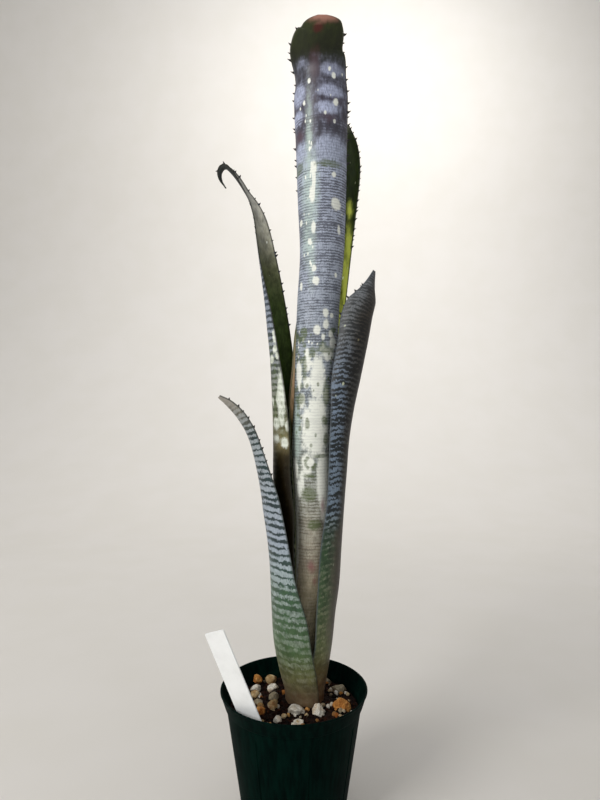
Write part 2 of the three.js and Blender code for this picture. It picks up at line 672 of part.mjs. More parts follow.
// The plug of mix: a fan of rings on top, the wall down to the pot's floor, and a flat underside.
function mixPlug() {
  const floor = POT_FLOOR + SEAT_GAP;
  const top = mixRadius(MIX_LEVEL - 2);
  const points = [[0, 0, mixHeight(0, 0)]];
  const ringPoint = (radius, sector, height) => {
    const angle = (sector / MIX_SECTORS) * 2 * Math.PI;
    const [x, y] = [radius * Math.cos(angle), radius * Math.sin(angle)];
    points.push([x, y, height ?? mixHeight(x, y)]);
  };
  for (let ringIndex = 1; ringIndex <= MIX_RINGS; ringIndex += 1) {
    for (let sector = 0; sector < MIX_SECTORS; sector += 1) {
      ringPoint((top * ringIndex) / MIX_RINGS, sector);
    }
  }
  for (const [radius, height] of [[mixRadius(3), 3], [FOOT_RADIUS - 2.6, floor]]) {
    for (let sector = 0; sector < MIX_SECTORS; sector += 1) ringPoint(radius, sector, height);
  }
  points.push([0, 0, floor]);
  const triangles = [];
  const at = (ringIndex, sector) => 1 + ringIndex * MIX_SECTORS + (sector % MIX_SECTORS);
  const rings = MIX_RINGS + 2;
  for (let sector = 0; sector < MIX_SECTORS; sector += 1) {
    triangles.push([0, at(0, sector), at(0, sector + 1)]);
    for (let ringIndex = 0; ringIndex < rings - 1; ringIndex += 1) {
      const [a, b] = [at(ringIndex, sector), at(ringIndex, sector + 1)];
      const [c, d] = [at(ringIndex + 1, sector + 1), at(ringIndex + 1, sector)];
      triangles.push([a, d, c], [a, c, b]);
    }
    triangles.push([points.length - 1, at(rings - 1, sector + 1), at(rings - 1, sector)]);
  }
  return toSolid(indexedGeometry(points, triangles));
}

// Coarse grit that stands half out of the surface, as one body with the mix.
function gritSolids() {
  const random = makeRandom(7);
  return Array.from({ length: GRIT_COUNT }, () => {
    const bearing = 2 * Math.PI * random();
    const away = GRIT_SPREAD * Math.sqrt(0.04 + 0.96 * random());
    const [x, y] = [away * Math.cos(bearing), away * Math.sin(bearing)];
    const size = 1.3 + 1.2 * random();
    const grain = new THREE.OctahedronGeometry(1, 0);
    grain.scale(size, size * (0.7 + 0.3 * random()), size * 0.9);
    grain.rotateX(random()).rotateZ(6 * random());
    return toSolid(grain.translate(x, y, mixHeight(x, y) + 0.1 * size));
  });
}

// The plain round hole that the plant's foot stands in.
function plantHole() {
  const { radius: sheathRadius, foot } = SHEATHS.leaf_low_left;
  const radius = sheathRadius + CHANNEL_GAP;
  const top = MIX_LEVEL + 17;
  const profile = [
    [0, STEM_FOOT - SEAT_GAP],
    [7.6, STEM_FOOT + 0.6],
    [13.2, STEM_FOOT + 5.6],
    [radius, foot - 1.2],
    [radius, foot + 19],
    [radius + 4, top],
    [0, top],
  ];
  return toSolid(latheZ(profile, 24)).translate([PLANT_X, PLANT_Y, 0]);
}

function mixSolid() {
  let mix = gritSolids().reduce((solid, grain) => solid.add(grain), mixPlug());
  mix = mix.subtract(plantHole());
  for (const root of rootSolids(ROOT_RADIUS + CHANNEL_GAP, CHANNEL_LENGTH)) mix = mix.subtract(root);
  for (const name of Object.keys(STONES)) {
    mix = mix.subtract(toSolid(placedStone(name, 2 * POCKET_GAP)));
  }
  mix = mix.subtract(toSolid(labelGeometry(CHANNEL_GAP)));
  return largestBody(mix);
}

// Assembly

addMesh("pot", toGeometry(potSolid()), materialOf(0x1f2b28, 0.35));
addMesh("potting_mix", toGeometry(mixSolid()), materialOf(0x3c231a, 0.95));
addMesh("stem_and_roots", toGeometry(stemSolid()), materialOf(0x6b5236, 0.8));
addMesh("plant_label", labelGeometry(0), materialOf(0xe9e9e6, 0.45));
for (const [name, stone] of Object.entries(STONES)) {
  addMesh(name, placedStone(name, 0), materialOf(stone.colour, 0.9));
}
for (const [name, leaf] of Object.entries(LEAVES)) {
  addMesh(name, toGeometry(leafSolid(name)), materialOf(leaf.colour, 0.6));
}

export default plant;
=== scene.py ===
"""Looks of a potted tubular bromeliad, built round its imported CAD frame.

Sizes in the classes are millimetres and become metres where a mesh is made. +Z is up, the viewer
stands at -Y, and the origin is the middle of the pot's foot.
"""

import json
import logging
import math
from dataclasses import dataclass, field, replace
from enum import Enum
from typing import Sequence

import bmesh
import bpy
import numpy as np
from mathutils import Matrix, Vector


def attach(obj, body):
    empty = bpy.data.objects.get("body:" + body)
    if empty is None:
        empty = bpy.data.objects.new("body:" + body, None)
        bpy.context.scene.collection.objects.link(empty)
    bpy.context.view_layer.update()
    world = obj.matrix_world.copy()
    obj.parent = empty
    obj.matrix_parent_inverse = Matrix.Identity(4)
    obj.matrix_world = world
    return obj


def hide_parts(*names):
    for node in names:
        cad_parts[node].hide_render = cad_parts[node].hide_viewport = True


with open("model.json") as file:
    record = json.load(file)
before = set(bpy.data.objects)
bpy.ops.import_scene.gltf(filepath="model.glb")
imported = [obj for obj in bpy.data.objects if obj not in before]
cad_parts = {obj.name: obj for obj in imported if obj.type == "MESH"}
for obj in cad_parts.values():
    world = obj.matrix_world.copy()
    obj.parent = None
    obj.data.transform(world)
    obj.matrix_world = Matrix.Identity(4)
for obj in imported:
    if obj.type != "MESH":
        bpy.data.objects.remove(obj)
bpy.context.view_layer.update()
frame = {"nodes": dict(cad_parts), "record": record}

Array = np.ndarray
Colour = tuple[float, float, float]
Socket = bpy.types.NodeSocket
Thing = bpy.types.Object
Mesh = bpy.types.Mesh
Material = bpy.types.Material
Tree = bpy.types.NodeTree

MM = 0.001
WAVES = 14
LOG = logging.getLogger("bromeliad")


def srgb(code: str) -> Colour:
    """Linear colour of an sRGB code: ((c + 0.055) / 1.055) ** 2.4, or c / 12.92 where it is dark.

    Args:
        code: Six hex digits.

    Returns:
        Red, green and blue from 0 to 1.
    """
    share = np.array([int(code[i:i + 2], 16) for i in (0, 2, 4)]) / 255
    linear = np.where(share > 0.04045, ((share + 0.055) / 1.055) ** 2.4, share / 12.92)
    return tuple(float(value) for value in linear)


def unit(vectors: Array) -> Array:
    """Vectors of length one along the last axis."""
    return vectors / np.maximum(np.linalg.norm(vectors, axis=-1, keepdims=True), 1e-12)


def path_length(points: Array) -> Array:
    """Distance of each point from the first, along the path that they make."""
    return np.concatenate([[0], np.cumsum(np.linalg.norm(np.diff(points, axis=0), axis=1))])


def bearing_gap(first: Array, second: Array) -> Array:
    """Angle from each of the first bearings to the nearest of the second, round the circle."""
    return np.abs((first[:, None] - second[None, :] + np.pi) % (2 * np.pi) - np.pi).min(axis=1)


def smoothstep(value: Array, low: float, high: float) -> Array:
    """3t² - 2t³, where t is the share of the way from low to high, held between 0 and 1."""
    share = np.clip((value - low) / (high - low), 0, 1)
    return share * share * (3 - 2 * share)


def ripple(points: Array, wavelength: float, seed: int) -> Array:
    """Seeded smooth noise of about -1 to 1: the mean of sine waves in random directions, scaled up.

    Args:
        points: Places in millimetres, one a row.
        wavelength: Middle wavelength of the waves.
        seed: Seed of the random draw.

    Returns:
        One value for each point.
    """
    rng = np.random.default_rng(seed)
    directions = unit(rng.normal(size=(WAVES, 3)))
    lengths = wavelength * rng.uniform(0.6, 1.6, WAVES)
    phases = rng.uniform(0, 2 * np.pi, WAVES)
    angles = points @ (directions / lengths[:, None]).T * 2 * np.pi + phases
    return 2.4 * np.sin(angles).mean(axis=-1)


@dataclass
class Surface:
    """Points, faces and per-point values of one mesh, in millimetres."""

    points: Array
    faces: list[Array]
    values: dict[str, Array] = field(default_factory=dict)

    @staticmethod
    def join(parts: Sequence["Surface"]) -> "Surface":
        """Joins surfaces, with 0 where a part lacks a value.

        Args:
            parts: The surfaces.

        Returns:
            One surface of them all.
        """
        names = sorted(set().union(*(part.values for part in parts)))
        starts = np.cumsum([0] + [len(part.points) for part in parts])
        faces = [block + start for part, start in zip(parts, starts) for block in part.faces]
        values = {
            name: np.concatenate([part.values.get(name, np.zeros(len(part.points))) for part in parts])
            for name in names
        }
        return Surface(np.vstack([part.points for part in parts]), faces, values)


def grid_faces(rows: int, columns: int, closed: bool) -> Array:
    """Quads between neighbouring points of a grid that is stored row by row.

    Args:
        rows: Number of rows of points.
        columns: Number of points in a row.
        closed: Whether the last column joins the first.

    Returns:
        One row of four point numbers for each quad.
    """
    i = np.arange(rows - 1)[:, None]
    j = np.arange(columns if closed else columns - 1)[None, :]
    k = (j + 1) % columns
    quads = np.stack([i * columns + j, i * columns + k, (i + 1) * columns + k, (i + 1) * columns + j], -1)
    return quads.reshape(-1, 4)


def turned(radius: Array, height: Array, angles: Array) -> Array:
    """Points (r sin a, -r cos a, z) of rows turned about +Z, with a column of heights."""
    return np.stack([radius * np.sin(angles), -radius * np.cos(angles), height + 0 * angles], -1)


def even_angles(count: int) -> Array:
    """Bearings an even angle apart, once round the circle, in radians."""
    return np.linspace(0, 2 * np.pi, count + 1)[:-1]


def tube(points: Array) -> Surface:
    """Surface of a grid of rows by columns by 3, whose last column joins the first."""
    return Surface(points.reshape(-1, 3), [grid_faces(*points.shape[:2], True)])


def strip(points: Array) -> Surface:
    """Surface of a thin strip with closed ends.

    Args:
        points: Rows by columns by 3; a row holds the back, a rim point, the face and a rim point.

    Returns:
        The surface.
    """
    rows, width = points.shape[:2]
    last = (width - 2) // 2 - 1
    j = np.arange(last)
    back, face = j, width - 2 - j
    quads = np.stack([back, face, face - 1, back + 1], -1)
    rims = np.array([[last, last + 2, last + 1], [width - 2, 0, width - 1]])
    top = (rows - 1) * width
    ends = [quads, rims, quads[:, ::-1] + top, rims[:, ::-1] + top]
    return Surface(points.reshape(-1, 3), tube(points).faces + ends)


def add_object(name: str, data: bpy.types.ID) -> Thing:
    """Puts a new object into the scene.

    Args:
        name: Its name.
        data: Its mesh, light or camera.

    Returns:
        The object.
    """
    thing = bpy.data.objects.new(name, data)
    bpy.context.scene.collection.objects.link(thing)
    return thing


def make_piece(
    name: str,
    surface: Surface,
    material: Material,
    replaces: Sequence[str] = (),
    merge: bool = False,
) -> Thing:
    """Puts a surface into the scene as a smooth mesh that rides on the part's one body.

    Args:
        name: Name of the piece.
        surface: Its points, faces and values.
        material: Its finish.
        replaces: CAD nodes that it stands for.
        merge: Whether coinciding points are joined, which closes poles.

    Returns:
        The new object.
    """
    mesh = bpy.data.meshes.new(name)
    faces = [face for block in surface.faces for face in block.tolist()]
    mesh.from_pydata((surface.points * MM).tolist(), [], faces)
    for key, values in surface.values.items():
        layer = mesh.attributes.new(key, "FLOAT", "POINT")
        layer.data.foreach_set("value", np.asarray(values, np.float32))
    if merge:
        merge_points(mesh)
    mesh.polygons.foreach_set("use_smooth", np.ones(len(mesh.polygons), bool))
    mesh.materials.append(material)
    mesh.update()
    piece = add_object(name, mesh)
    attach(piece, "root")
    if replaces:
        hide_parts(*replaces)
    LOG.info("%s: %d points, %d faces", name, len(mesh.vertices), len(mesh.polygons))
    return piece


def merge_points(mesh: Mesh) -> None:
    """Joins coinciding points and turns the faces outwards.

    Args:
        mesh: The mesh, changed in place.
    """
    form = bmesh.new()
    form.from_mesh(mesh)
    bmesh.ops.remove_doubles(form, verts=form.verts, dist=1e-6)
    bmesh.ops.recalc_face_normals(form, faces=form.faces)
    form.to_mesh(mesh)
    form.free()


# Shader helpers


class Graph:
    """Short calls that add nodes to one node tree and link them."""

    def __init__(self, tree: Tree) -> None:
        """Keeps the tree that the calls add to."""
        self.tree = tree

    def feed(self, inputs: Sequence[Socket], values: dict) -> None:
        """Links inputs to outputs, or sets their own values.

        Args:
            inputs: A node's inputs.
            values: Output, number or sRGB code by input name or number.
        """
        for key, value in values.items():
            if isinstance(value, Socket):
                self.tree.links.new(value, inputs[key])
            else:
                inputs[key].default_value = (*srgb(value), 1.0) if isinstance(value, str) else value

    def add(self, kind: str, values: dict | None = None, **settings: object) -> bpy.types.Node:
        """Adds a node.

        Args:
            kind: The node's type without "ShaderNode".
            values: What its inputs get.
            **settings: Properties of the node.

        Returns:
            The new node.
        """
        node = self.tree.nodes.new("ShaderNode" + kind)
        for key, value in settings.items():
            setattr(node, key, value)
        self.feed(node.inputs, values or {})
        return node

    def math(self, operation: str, *values: object) -> Socket:
        """Result of a Math node on up to three numbers or outputs."""
        return self.add("Math", dict(enumerate(values)), operation=operation).outputs[0]

    def times(self, first: object, second: object, *added: object) -> Socket:
        """Product of two, plus a third where it is given."""
        return self.math("MULTIPLY_ADD" if added else "MULTIPLY", first, second, *added)

    def less(self, first: object, second: object) -> Socket:
        """The first less the second."""
        return self.math("SUBTRACT", first, second)

    def mix(self, factor: object, first: object, second: object, blend: str = "MIX") -> Socket:
        """Colour between two others."""
        values = {0: factor, 6: first, 7: second}
        return self.add("Mix", values, data_type="RGBA", blend_type=blend).outputs[2]

    def dimmed(self, colour: Socket, grey: Socket) -> Socket:
        """A colour times a grey value."""
        return self.mix(1.0, colour, self.vector(grey, grey, grey), "MULTIPLY")

    def step(
        self, value: Socket, low: object, high: object, start: float = 0.0, end: float = 1.0
    ) -> Socket:
        """Smooth step of a value from low to high, put out as start to end."""
        values = {"Value": value, "From Min": low, "From Max": high, "To Min": start, "To Max": end}
        return self.add("MapRange", values, interpolation_type="SMOOTHSTEP").outputs[0]

    def noise(self, vector: Socket, scale: object, detail: float = 3.0, roughness: float = 0.55) -> Socket:
        """Noise of about 0.2 to 0.8 at places given by a vector."""
        values = {"Vector": vector, "Scale": scale, "Detail": detail, "Roughness": roughness}
        return self.add("TexNoise", values).outputs["Fac"]

    def value(self, name: str) -> Socket:
        """A named per-point value of the mesh."""
        return self.add("Attribute", attribute_name=name).outputs["Fac"]

    def vector(self, x: object, y: object, z: object) -> Socket:
        """A vector of three numbers or outputs."""
        return self.add("CombineXYZ", {0: x, 1: y, 2: z}).outputs[0]

    def place(self) -> Socket:
        """Object coordinates in millimetres."""
        texture = self.add("TexCoord").outputs["Object"]
        return self.add("VectorMath", {0: texture, "Scale": 1 / MM}, operation="SCALE").outputs[0]

    def ramp(self, factor: object, stops: str) -> Socket:
        """Colour along a ramp.

        Args:
            factor: Place on it, from 0 to 1.
            stops: Its stops, each a place and an sRGB code, with commas between them.

        Returns:
            The colour.
        """
        node = self.add("ValToRGB", {0: factor})
        elements = node.color_ramp.elements
        pairs = [stop.split() for stop in stops.split(",")]
        while len(elements) < len(pairs):
            elements.new(1.0)
        for element, (place, code) in zip(elements, pairs):
            element.position = float(place)
            element.color = (*srgb(code), 1.0)
        return node.outputs[0]

    def group(self, tree: Tree, values: dict[str, object]) -> Sequence[Socket]:
        """Outputs of a node group with its inputs set."""
        return self.add("Group", values, node_tree=tree).outputs

    def bump(self, height: Socket, depth_mm: float, strength: float) -> Socket:
        """Normal of a relief whose height of 0 to 1 stands for a depth in millimetres."""
        values = {"Height": height, "Distance": depth_mm * MM, "Strength": strength}
        return self.add("Bump", values).outputs[0]


def new_group(name: str, inputs: dict[str, float | None], outputs: Sequence[str]) -> tuple:
    """Starts a shader node group.

    Args:
        name: Its name.
        inputs: Default of each input, or None where it takes a vector.
        outputs: Name of each output, all plain numbers.

    Returns:
        The tree, its graph, the outputs of its input node and the inputs of its output node.
    """
    tree = bpy.data.node_groups.new(name, "ShaderNodeTree")
    for label, default in inputs.items():
        kind = "NodeSocketVector" if default is None else "NodeSocketFloat"
        socket = tree.interface.new_socket(label, in_out="INPUT", socket_type=kind)
        if default is not None:
            socket.default_value = default
    for label in outputs:
        tree.interface.new_socket(label, in_out="OUTPUT", socket_type="NodeSocketFloat")
    source = tree.nodes.new("NodeGroupInput")
    sink = tree.nodes.new("NodeGroupOutput")
    return tree, Graph(tree), source.outputs, sink.inputs


def ragged_patch_group() -> Tree:
    """Gives a soft mask a torn outline: smooth step of mask plus noise around one half.

    Returns:
        The group.
    """
    inputs = {"Mask": 0.0, "Vector": None, "Scale": 0.4, "Tear": 0.6, "Softness": 0.08}
    tree, graph, given, result = new_group("ragged_patch", inputs, ["Mask"])
    noise = graph.noise(given["Vector"], given["Scale"], detail=4.0, roughness=0.6)
    torn = graph.times(graph.less(noise, 0.5), given["Tear"], given["Mask"])
    low, high = graph.less(0.5, given["Softness"]), graph.math("ADD", 0.5, given["Softness"])
    graph.feed(result, {"Mask": graph.step(torn, low, high)})
    return tree


def scurf_band_group() -> Tree:
    """Cross bands of scurf: a triangle wave of the phase, bent by noise and broken up by it.

    Returns:
        The group, which also gives fine streaks along the leaf.
    """
    inputs = {"Phase": 0.0, "Across": 0.0, "Along": 0.0, "Seed": 0.0}
    inputs.update({"Wobble": 0.3, "Gap": 0.35, "Breaks": 0.3})
    tree, graph, given, result = new_group("scurf_bands", inputs, ["Band", "Streak"])

    def scaled(name: str, scale: float) -> Socket:
        """An input times a scale, or the input itself where the scale is 1."""
        return given[name] if scale == 1 else graph.times(given[name], scale)

    def place(across: float, along: float) -> Socket:
        """The leaf's own coordinates, each scaled."""
        return graph.vector(scaled("Across", across), scaled("Along", along), given["Seed"])

    broad = graph.less(graph.noise(place(1, 0.5), 0.16, detail=2.0), 0.5)
    fine = graph.less(graph.noise(place(1, 0.3), 0.9), 0.5)
    bent = graph.times(broad, given["Wobble"], given["Phase"])
    bent = graph.times(fine, graph.times(given["Wobble"], 1.5), bent)
    wave = graph.times(graph.math("PINGPONG", bent, 0.5), 2.0)
    breaks = graph.less(graph.noise(place(0.45, 1), 0.34, roughness=0.7), 0.5)
    belts = graph.less(graph.noise(place(0.12, 1), 0.12, detail=2.0), 0.5)
    gap = graph.times(graph.times(belts, 0.7, breaks), given["Breaks"], given["Gap"])
    band = graph.step(wave, graph.less(gap, 0.16), graph.math("ADD", gap, 0.16))
    graph.feed(result, {"Band": band, "Streak": graph.step(graph.noise(place(1, 0.16), 2.2), 0.3, 0.62)})
    return tree


def grain_group() -> Tree:
    """Grain of plastic, stone and soil: coarse noise, and noise that is finer by a factor.

    Returns:
        The group.
    """
    inputs = {"Vector": None, "Scale": 1.0, "Fineness": 6.0}
    tree, graph, given, result = new_group("grain", inputs, ["Coarse", "Fine"])
    coarse = graph.noise(given["Vector"], given["Scale"], detail=4.0, roughness=0.6)
    scale = graph.times(given["Scale"], given["Fineness"])
    fine = graph.noise(given["Vector"], scale, detail=4.0, roughness=0.65)
    graph.feed(result, {"Coarse": coarse, "Fine": fine})
    return tree


RAGGED_PATCH = ragged_patch_group()
SCURF_BANDS = scurf_band_group()
GRAIN = grain_group()


def new_material(name: str) -> tuple[Material, Graph, Sequence[Socket]]:
    """Starts a node material.

    Args:
        name: Its name.

    Returns:
        The material, its graph and the inputs of its Principled BSDF.
    """
    material = bpy.data.materials.new(name)
    material.use_nodes = True
    tree = material.node_tree
    return material, Graph(tree), tree.nodes["Principled BSDF"].inputs


# Leaf skin


class Channel(Enum):
    """A kind of mark on a leaf, kept as a per-point value from 0 to 1."""

    SCURF = "scurf"
    LINES = "lines"
    STRIPE = "stripe"
    CREAM = "cream"
    GREEN = "green"
    BLUSH = "blush"
    # Painted shade: a brown-grey darkening multiplied into the colour. It is partly the leaf's own duller
    # tone and partly painted shade where less light falls.
    PAINTED_SHADE = "shade"


class Side(Enum):
    """The two sides of a leaf: its back is the outside of the tube."""

    BACK = 0
    FACE = 1


SCURF, LINES, STRIPE, CREAM, GREEN, BLUSH, PAINTED_SHADE = Channel
BACK, FACE = Side

# Scale of the noise that tears the outline of each channel's patches, and how soft the outline is.
OUTLINES = {
    SCURF: (0.3, 0.22), STRIPE: (0.35, 0.35), CREAM: (0.5, 0.14), GREEN: (0.5, 0.16), BLUSH: (0.25, 0.3),
    PAINTED_SHADE: (0.15, 0.4),
}


@dataclass(frozen=True)
class Skin:
    """A leaf's points with what marks read of them: share and distance across, and side from 0 to 1.

    Towards is how far a point faces the viewer, from 0 to 1.
    """

    points: Array
    share: Array
    across: Array
    side: Array
    towards: Array


@dataclass(frozen=True)
class Zone:
    """A channel's value along a leaf, from (height, value) keys, round a line at a share across it."""

    channel: Channel
    keys: tuple[tuple[float, float], ...]
    centre: float = 0.0
    reach: float = 9.0
    side: Side = BACK

    def cover(self, skin: Skin) -> Array:
        """The keys' value at each point's height, fading as 1 - (distance / reach)² from the line."""
        level = np.interp(skin.points[:, 2], *zip(*self.keys))
        return level * np.clip(1 - ((skin.share - self.centre) / self.reach) ** 2, 0, 1)


@dataclass(frozen=True)
class Mark:
    """A spot seen from the front: middle at x and height z, with its half width and half height."""

    channel: Channel
    x: float
    z: float
    wide: float
    tall: float
    strength: float = 1.0
    side: Side = BACK

    def cover(self, skin: Skin) -> Array:
        """1 - d / 2, which is one half on the outline, where d is the elliptical distance."""
        away = np.hypot((skin.points[:, 0] - self.x) / self.wide, (skin.points[:, 2] - self.z) / self.tall)
        return np.clip(1 - away / 2, 0, 1) * skin.towards * self.strength


def marks(channel: Channel, *rows: tuple[float, ...], side: Side = BACK) -> tuple[Mark, ...]:
    """Marks of one channel, each given as x, z, half width, half height and, if it isn't 1, strength."""
    return tuple(Mark(channel, *row, side=side) for row in rows)


@dataclass(frozen=True)
class Speckles:
    """Seeded random spots on one side of a leaf, between two heights and two shares across it."""

    channel: Channel
    count: int
    low: float
    high: float
    size: tuple[float, float]
    seed: int
    stretch: float = 1.6
    strength: float = 1.0
    side: Side = BACK
    within: tuple[float, float] = (-1.0, 1.0)

    def cover(self, skin: Skin) -> Array:
        """1 - d / 2, where d is the elliptical distance from the nearest spot over the leaf's surface.

        Args:
            skin: The leaf's points.

        Returns:
            One value for each point.
        """
        rng = np.random.default_rng(self.seed)
        x = rng.uniform(*self.within, self.count) * np.abs(skin.across).max()
        z = rng.uniform(self.low, self.high, self.count)
        size = rng.uniform(*self.size, self.count)
        across = (skin.across[:, None] - x) / size
        height = (skin.points[:, 2:] - z) / (size * self.stretch)
        return np.clip(1 - np.hypot(across, height) / 2, 0, 1).max(axis=1) * self.strength


@dataclass(frozen=True)
class LeafFinish:
    """The skin of a leaf: a ground colour, silver scurf in bands, and marks of other colours over it.

    Ground, scurf, face and blush are colour stops up the leaf, and the other colours are sRGB codes.
    """

    name: str
    slot: str
    ground: str
    scurf: str
    face: str
    blush: str
    stripe: str
    cream: str
    green: str
    margin: str
    # shade is the brown-grey colour that the painted shade mask multiplies in.
    shade: str = "a89a88"
    spine: str = "1f1915"
    thinning: float = 0.0
    # The glow is painted light: emission from the stripe and blush on the leaf's face, standing in for light
    # through the leaf.
    painted_glow: float = 0.0
    gloss: float = 0.36
    gap: float = 0.35
    wobble: float = 0.35
    breaks: float = 0.4
    tear: float = 0.7
    seed: float = 0.0
    stretch: float = 0.6
    mottle_scale: float = 0.22
    rib_pitch: float = 1.15
    face_shift: float = 40.0
    relief_depth: float = 0.07

    def build(self) -> Material:
        """Makes the material from the leaf's per-point values.

        Returns:
            The material.
        """
        material, graph, shader = new_material(self.name)
        across, along, face, rise = (graph.value(name) for name in ("across", "along", "face", "rise"))
        depth = graph.times(face, self.face_shift, self.seed)
        place = graph.vector(across, graph.times(along, self.stretch), depth)
        patch = {
            channel: graph.group(RAGGED_PATCH, {
                "Mask": graph.value(channel.value), "Vector": place, "Scale": scale, "Tear": self.tear,
                "Softness": softness,
            })["Mask"]
            for channel, (scale, softness) in OUTLINES.items()
        }
        bands = graph.group(SCURF_BANDS, {
            "Phase": graph.value("phase"), "Across": across, "Along": along, "Seed": depth,
            "Wobble": self.wobble, "Breaks": self.breaks,
            # The silver lines thin out where the painted shade mask lies.
            "Gap": graph.times(graph.value(PAINTED_SHADE.value), self.thinning, self.gap),
        })
        gaps = graph.times(graph.value(LINES.value), graph.less(1.0, bands["Band"]))
        silver = graph.times(graph.less(1.0, gaps), patch[SCURF])
        silver = graph.times(silver, graph.times(bands["Streak"], 0.5, 0.5))
        ribs = graph.math("SINE", graph.times(across, 2 * math.pi / self.rib_pitch))
        silver = graph.times(silver, graph.times(ribs, 0.1, 0.9))
        mottle = graph.step(graph.noise(place, self.mottle_scale, detail=4.0), 0.3, 0.7, 0.7, 1.25)
        mottle = graph.times(mottle, graph.times(bands["Streak"], 0.3, 0.8))
        ground = graph.mix(face, graph.ramp(rise, self.ground), graph.ramp(rise, self.face))
        colour = graph.mix(silver, graph.dimmed(ground, mottle), graph.ramp(rise, self.scurf))
        for channel, fade, cover, tint in (
            (STRIPE, -0.5, 0.75, self.stripe),
            (CREAM, -0.2, 1.0, self.cream),
            (GREEN, 0.25, 0.6, self.green),
        ):
            lined = graph.times(patch[channel], graph.times(gaps, fade, cover))
            colour = graph.mix(lined, colour, tint)
        colour = graph.mix(graph.times(patch[BLUSH], 0.85), colour, graph.ramp(rise, self.blush))
        # Painted shade: where the mask lies, the colour is multiplied by the shade colour. This darkens
        # sides turned from the light and places beside gaps between leaves.
        colour = graph.mix(patch[PAINTED_SHADE], colour, self.shade, "MULTIPLY")
        colour = graph.mix(graph.value("margin"), colour, self.margin)
        colour = graph.mix(graph.value("spine"), colour, self.spine)
        # Painted light: the stripe and blush on the face glow by emission, in place of light through the
        # leaf.
        if self.painted_glow > 0:
            painted_light = graph.times(graph.math("MAXIMUM", patch[STRIPE], patch[BLUSH]), face)
            graph.feed(shader, {"Emission Color": colour, "Emission Strength": graph.times(painted_light, self.painted_glow)})
        relief = graph.times(ribs, 0.25, graph.times(bands["Streak"], 0.5))
        relief = graph.math("ADD", relief, graph.times(silver, 0.5))
        graph.feed(shader, {
            "Base Color": colour, "Roughness": graph.times(silver, 0.2, 0.42),
            "Normal": graph.bump(relief, self.relief_depth, 0.6), "Specular IOR Level": self.gloss,
        })
        return material


# Leaf form

PLANT_X = 8.6
PLANT_Y = 8.0
LEAF_THICKNESS = 1.0
MARGIN_THINNING = 0.35
MARGIN_LINE = (0.2, 1.3)
MARGIN_TONE = 0.8
RIM_BULGE = 0.3
SPINE_DEPTH = 0.32
SPINE_RISE = 0.8
PATH_SAMPLES = 4000
MARGIN_SAMPLES = 1500


def ring(
    z: float, x: float, y: float, radius: float, facing: float, wrap: float, free: float = 0.0
) -> tuple[float, ...]:
    """Station from an arc of a level circle.

    Args:
        z: Height of the circle.
        x: Its middle, to the right.
        y: Its middle, away from the viewer.
        radius: Its radius.
        facing: Bearing that the leaf's back faces: 0 towards the viewer, 90 towards +X.
        wrap: Degrees of arc to either side of the midrib.
        free: How far the section turns with the path, from 0 to 1.

    Returns:
        Place of the midrib, facing, radius, half width round the arc, and free.
    """
    bearing = math.radians(facing)
    midrib = (x + radius * math.sin(bearing), y - radius * math.cos(bearing), z)
    return (*midrib, facing, radius, radius * math.radians(wrap), free)


def blade(x: float, y: float, z: float, radius: float, facing: float, half: float) -> tuple[float, ...]:
    """Station from the midrib's own place, that turns with the path: half is the width round the arc."""
    return (x, y, z, facing, radius, half, 1.0)


def sheath(radius: float, z: float, facing: float, wrap: float) -> tuple[float, ...]:
    """Station round the stem, where the sheath has a given outer radius."""
    return ring(z, PLANT_X, PLANT_Y, radius, facing, wrap)


@dataclass(frozen=True)
class Sections:
    """Cross-sections of a leaf at places along it, as arrays with one row for each place."""

    point: Array
    across: Array
    out: Array
    radius: Array
    half: Array

    @staticmethod
    def at(stations: Array, place: Array) -> "Sections":
        """Catmull-Rom interpolation of the stations, with the ends carried on in a straight line.

        value = 0.5 (2b + (c-a)t + (2a-5b+4c-d)t² + (-a+3b-3c+d)t³), and the path is its slope.

        Args:
            stations: One station a row: x, y, z, facing, radius, half width, free.
            place: Places from 0 to the last station's number.

        Returns:
            The sections at those places.
        """
        first = 2 * stations[0] - stations[1]
        last = 2 * stations[-1] - stations[-2]
        padded = np.vstack([first, stations, last])
        index = np.minimum(place.astype(int), len(stations) - 2)
        t = (place - index)[:, None]
        a, b, c, d = (padded[index + step] for step in range(4))
        linear, square, cube = c - a, 2 * a - 5 * b + 4 * c - d, -a + 3 * b - 3 * c + d
        value = 0.5 * (2 * b + linear * t + square * t**2 + cube * t**3)
        slope = 0.5 * (linear + 2 * square * t + 3 * cube * t**2)
        bearing = np.radians(value[:, 3])
        level = np.stack([np.cos(bearing), np.sin(bearing), 0 * bearing], -1)
        free = np.clip(value[:, 6:], 0, 1)
        up = unit((1 - free) * np.array([0, 0, 1.0]) + free * unit(slope[:, :3]))
        across = unit(level - (level * up).sum(-1, keepdims=True) * up)
        return Sections(value[:, :3], across, np.cross(across, up), value[:, 4], value[:, 5])

    def spread(self, share: Array, depth: Array) -> tuple[Array, Array, Array]:
        """Points at shares from -1 to 1 across each section, sunk inwards by a depth.

        point - R (1 - cos a) out + R sin a across - depth normal, where a is share * half / R.

        Args:
            share: Shares across, one for each column.
            depth: Depth below the back, one for each column.

        Returns:
            The points, their outward normals and the edge directions, all rows by columns by 3.
        """
        radius = self.radius[:, None, None]
        angle = (share[None, :] * self.half[:, None] / self.radius[:, None])[..., None]
        out, across = self.out[:, None, :], self.across[:, None, :]
        normal = np.cos(angle) * out + np.sin(angle) * across
        edge = np.cos(angle) * across - np.sin(angle) * out
        points = self.point[:, None, :] - radius * (1 - np.cos(angle)) * out
        points = points + radius * np.sin(angle) * across - depth[None, :, None] * normal
        return points, normal, edge


@dataclass(frozen=True)
class Spines:
    """Marginal spines: share of the leaf that bears them, spacing, size, degrees of lift off it, and hook.

    The hook is how far the point bends along the leaf, as a share of the length.
    """

    low: float
    high: float
    spacing: float
    seed: int
    length: float = 1.8
    base: float = 2.3
    root: float = 0.6
    thickness: float = 0.9
    lift: float = 10.0
    hook: float = 0.55


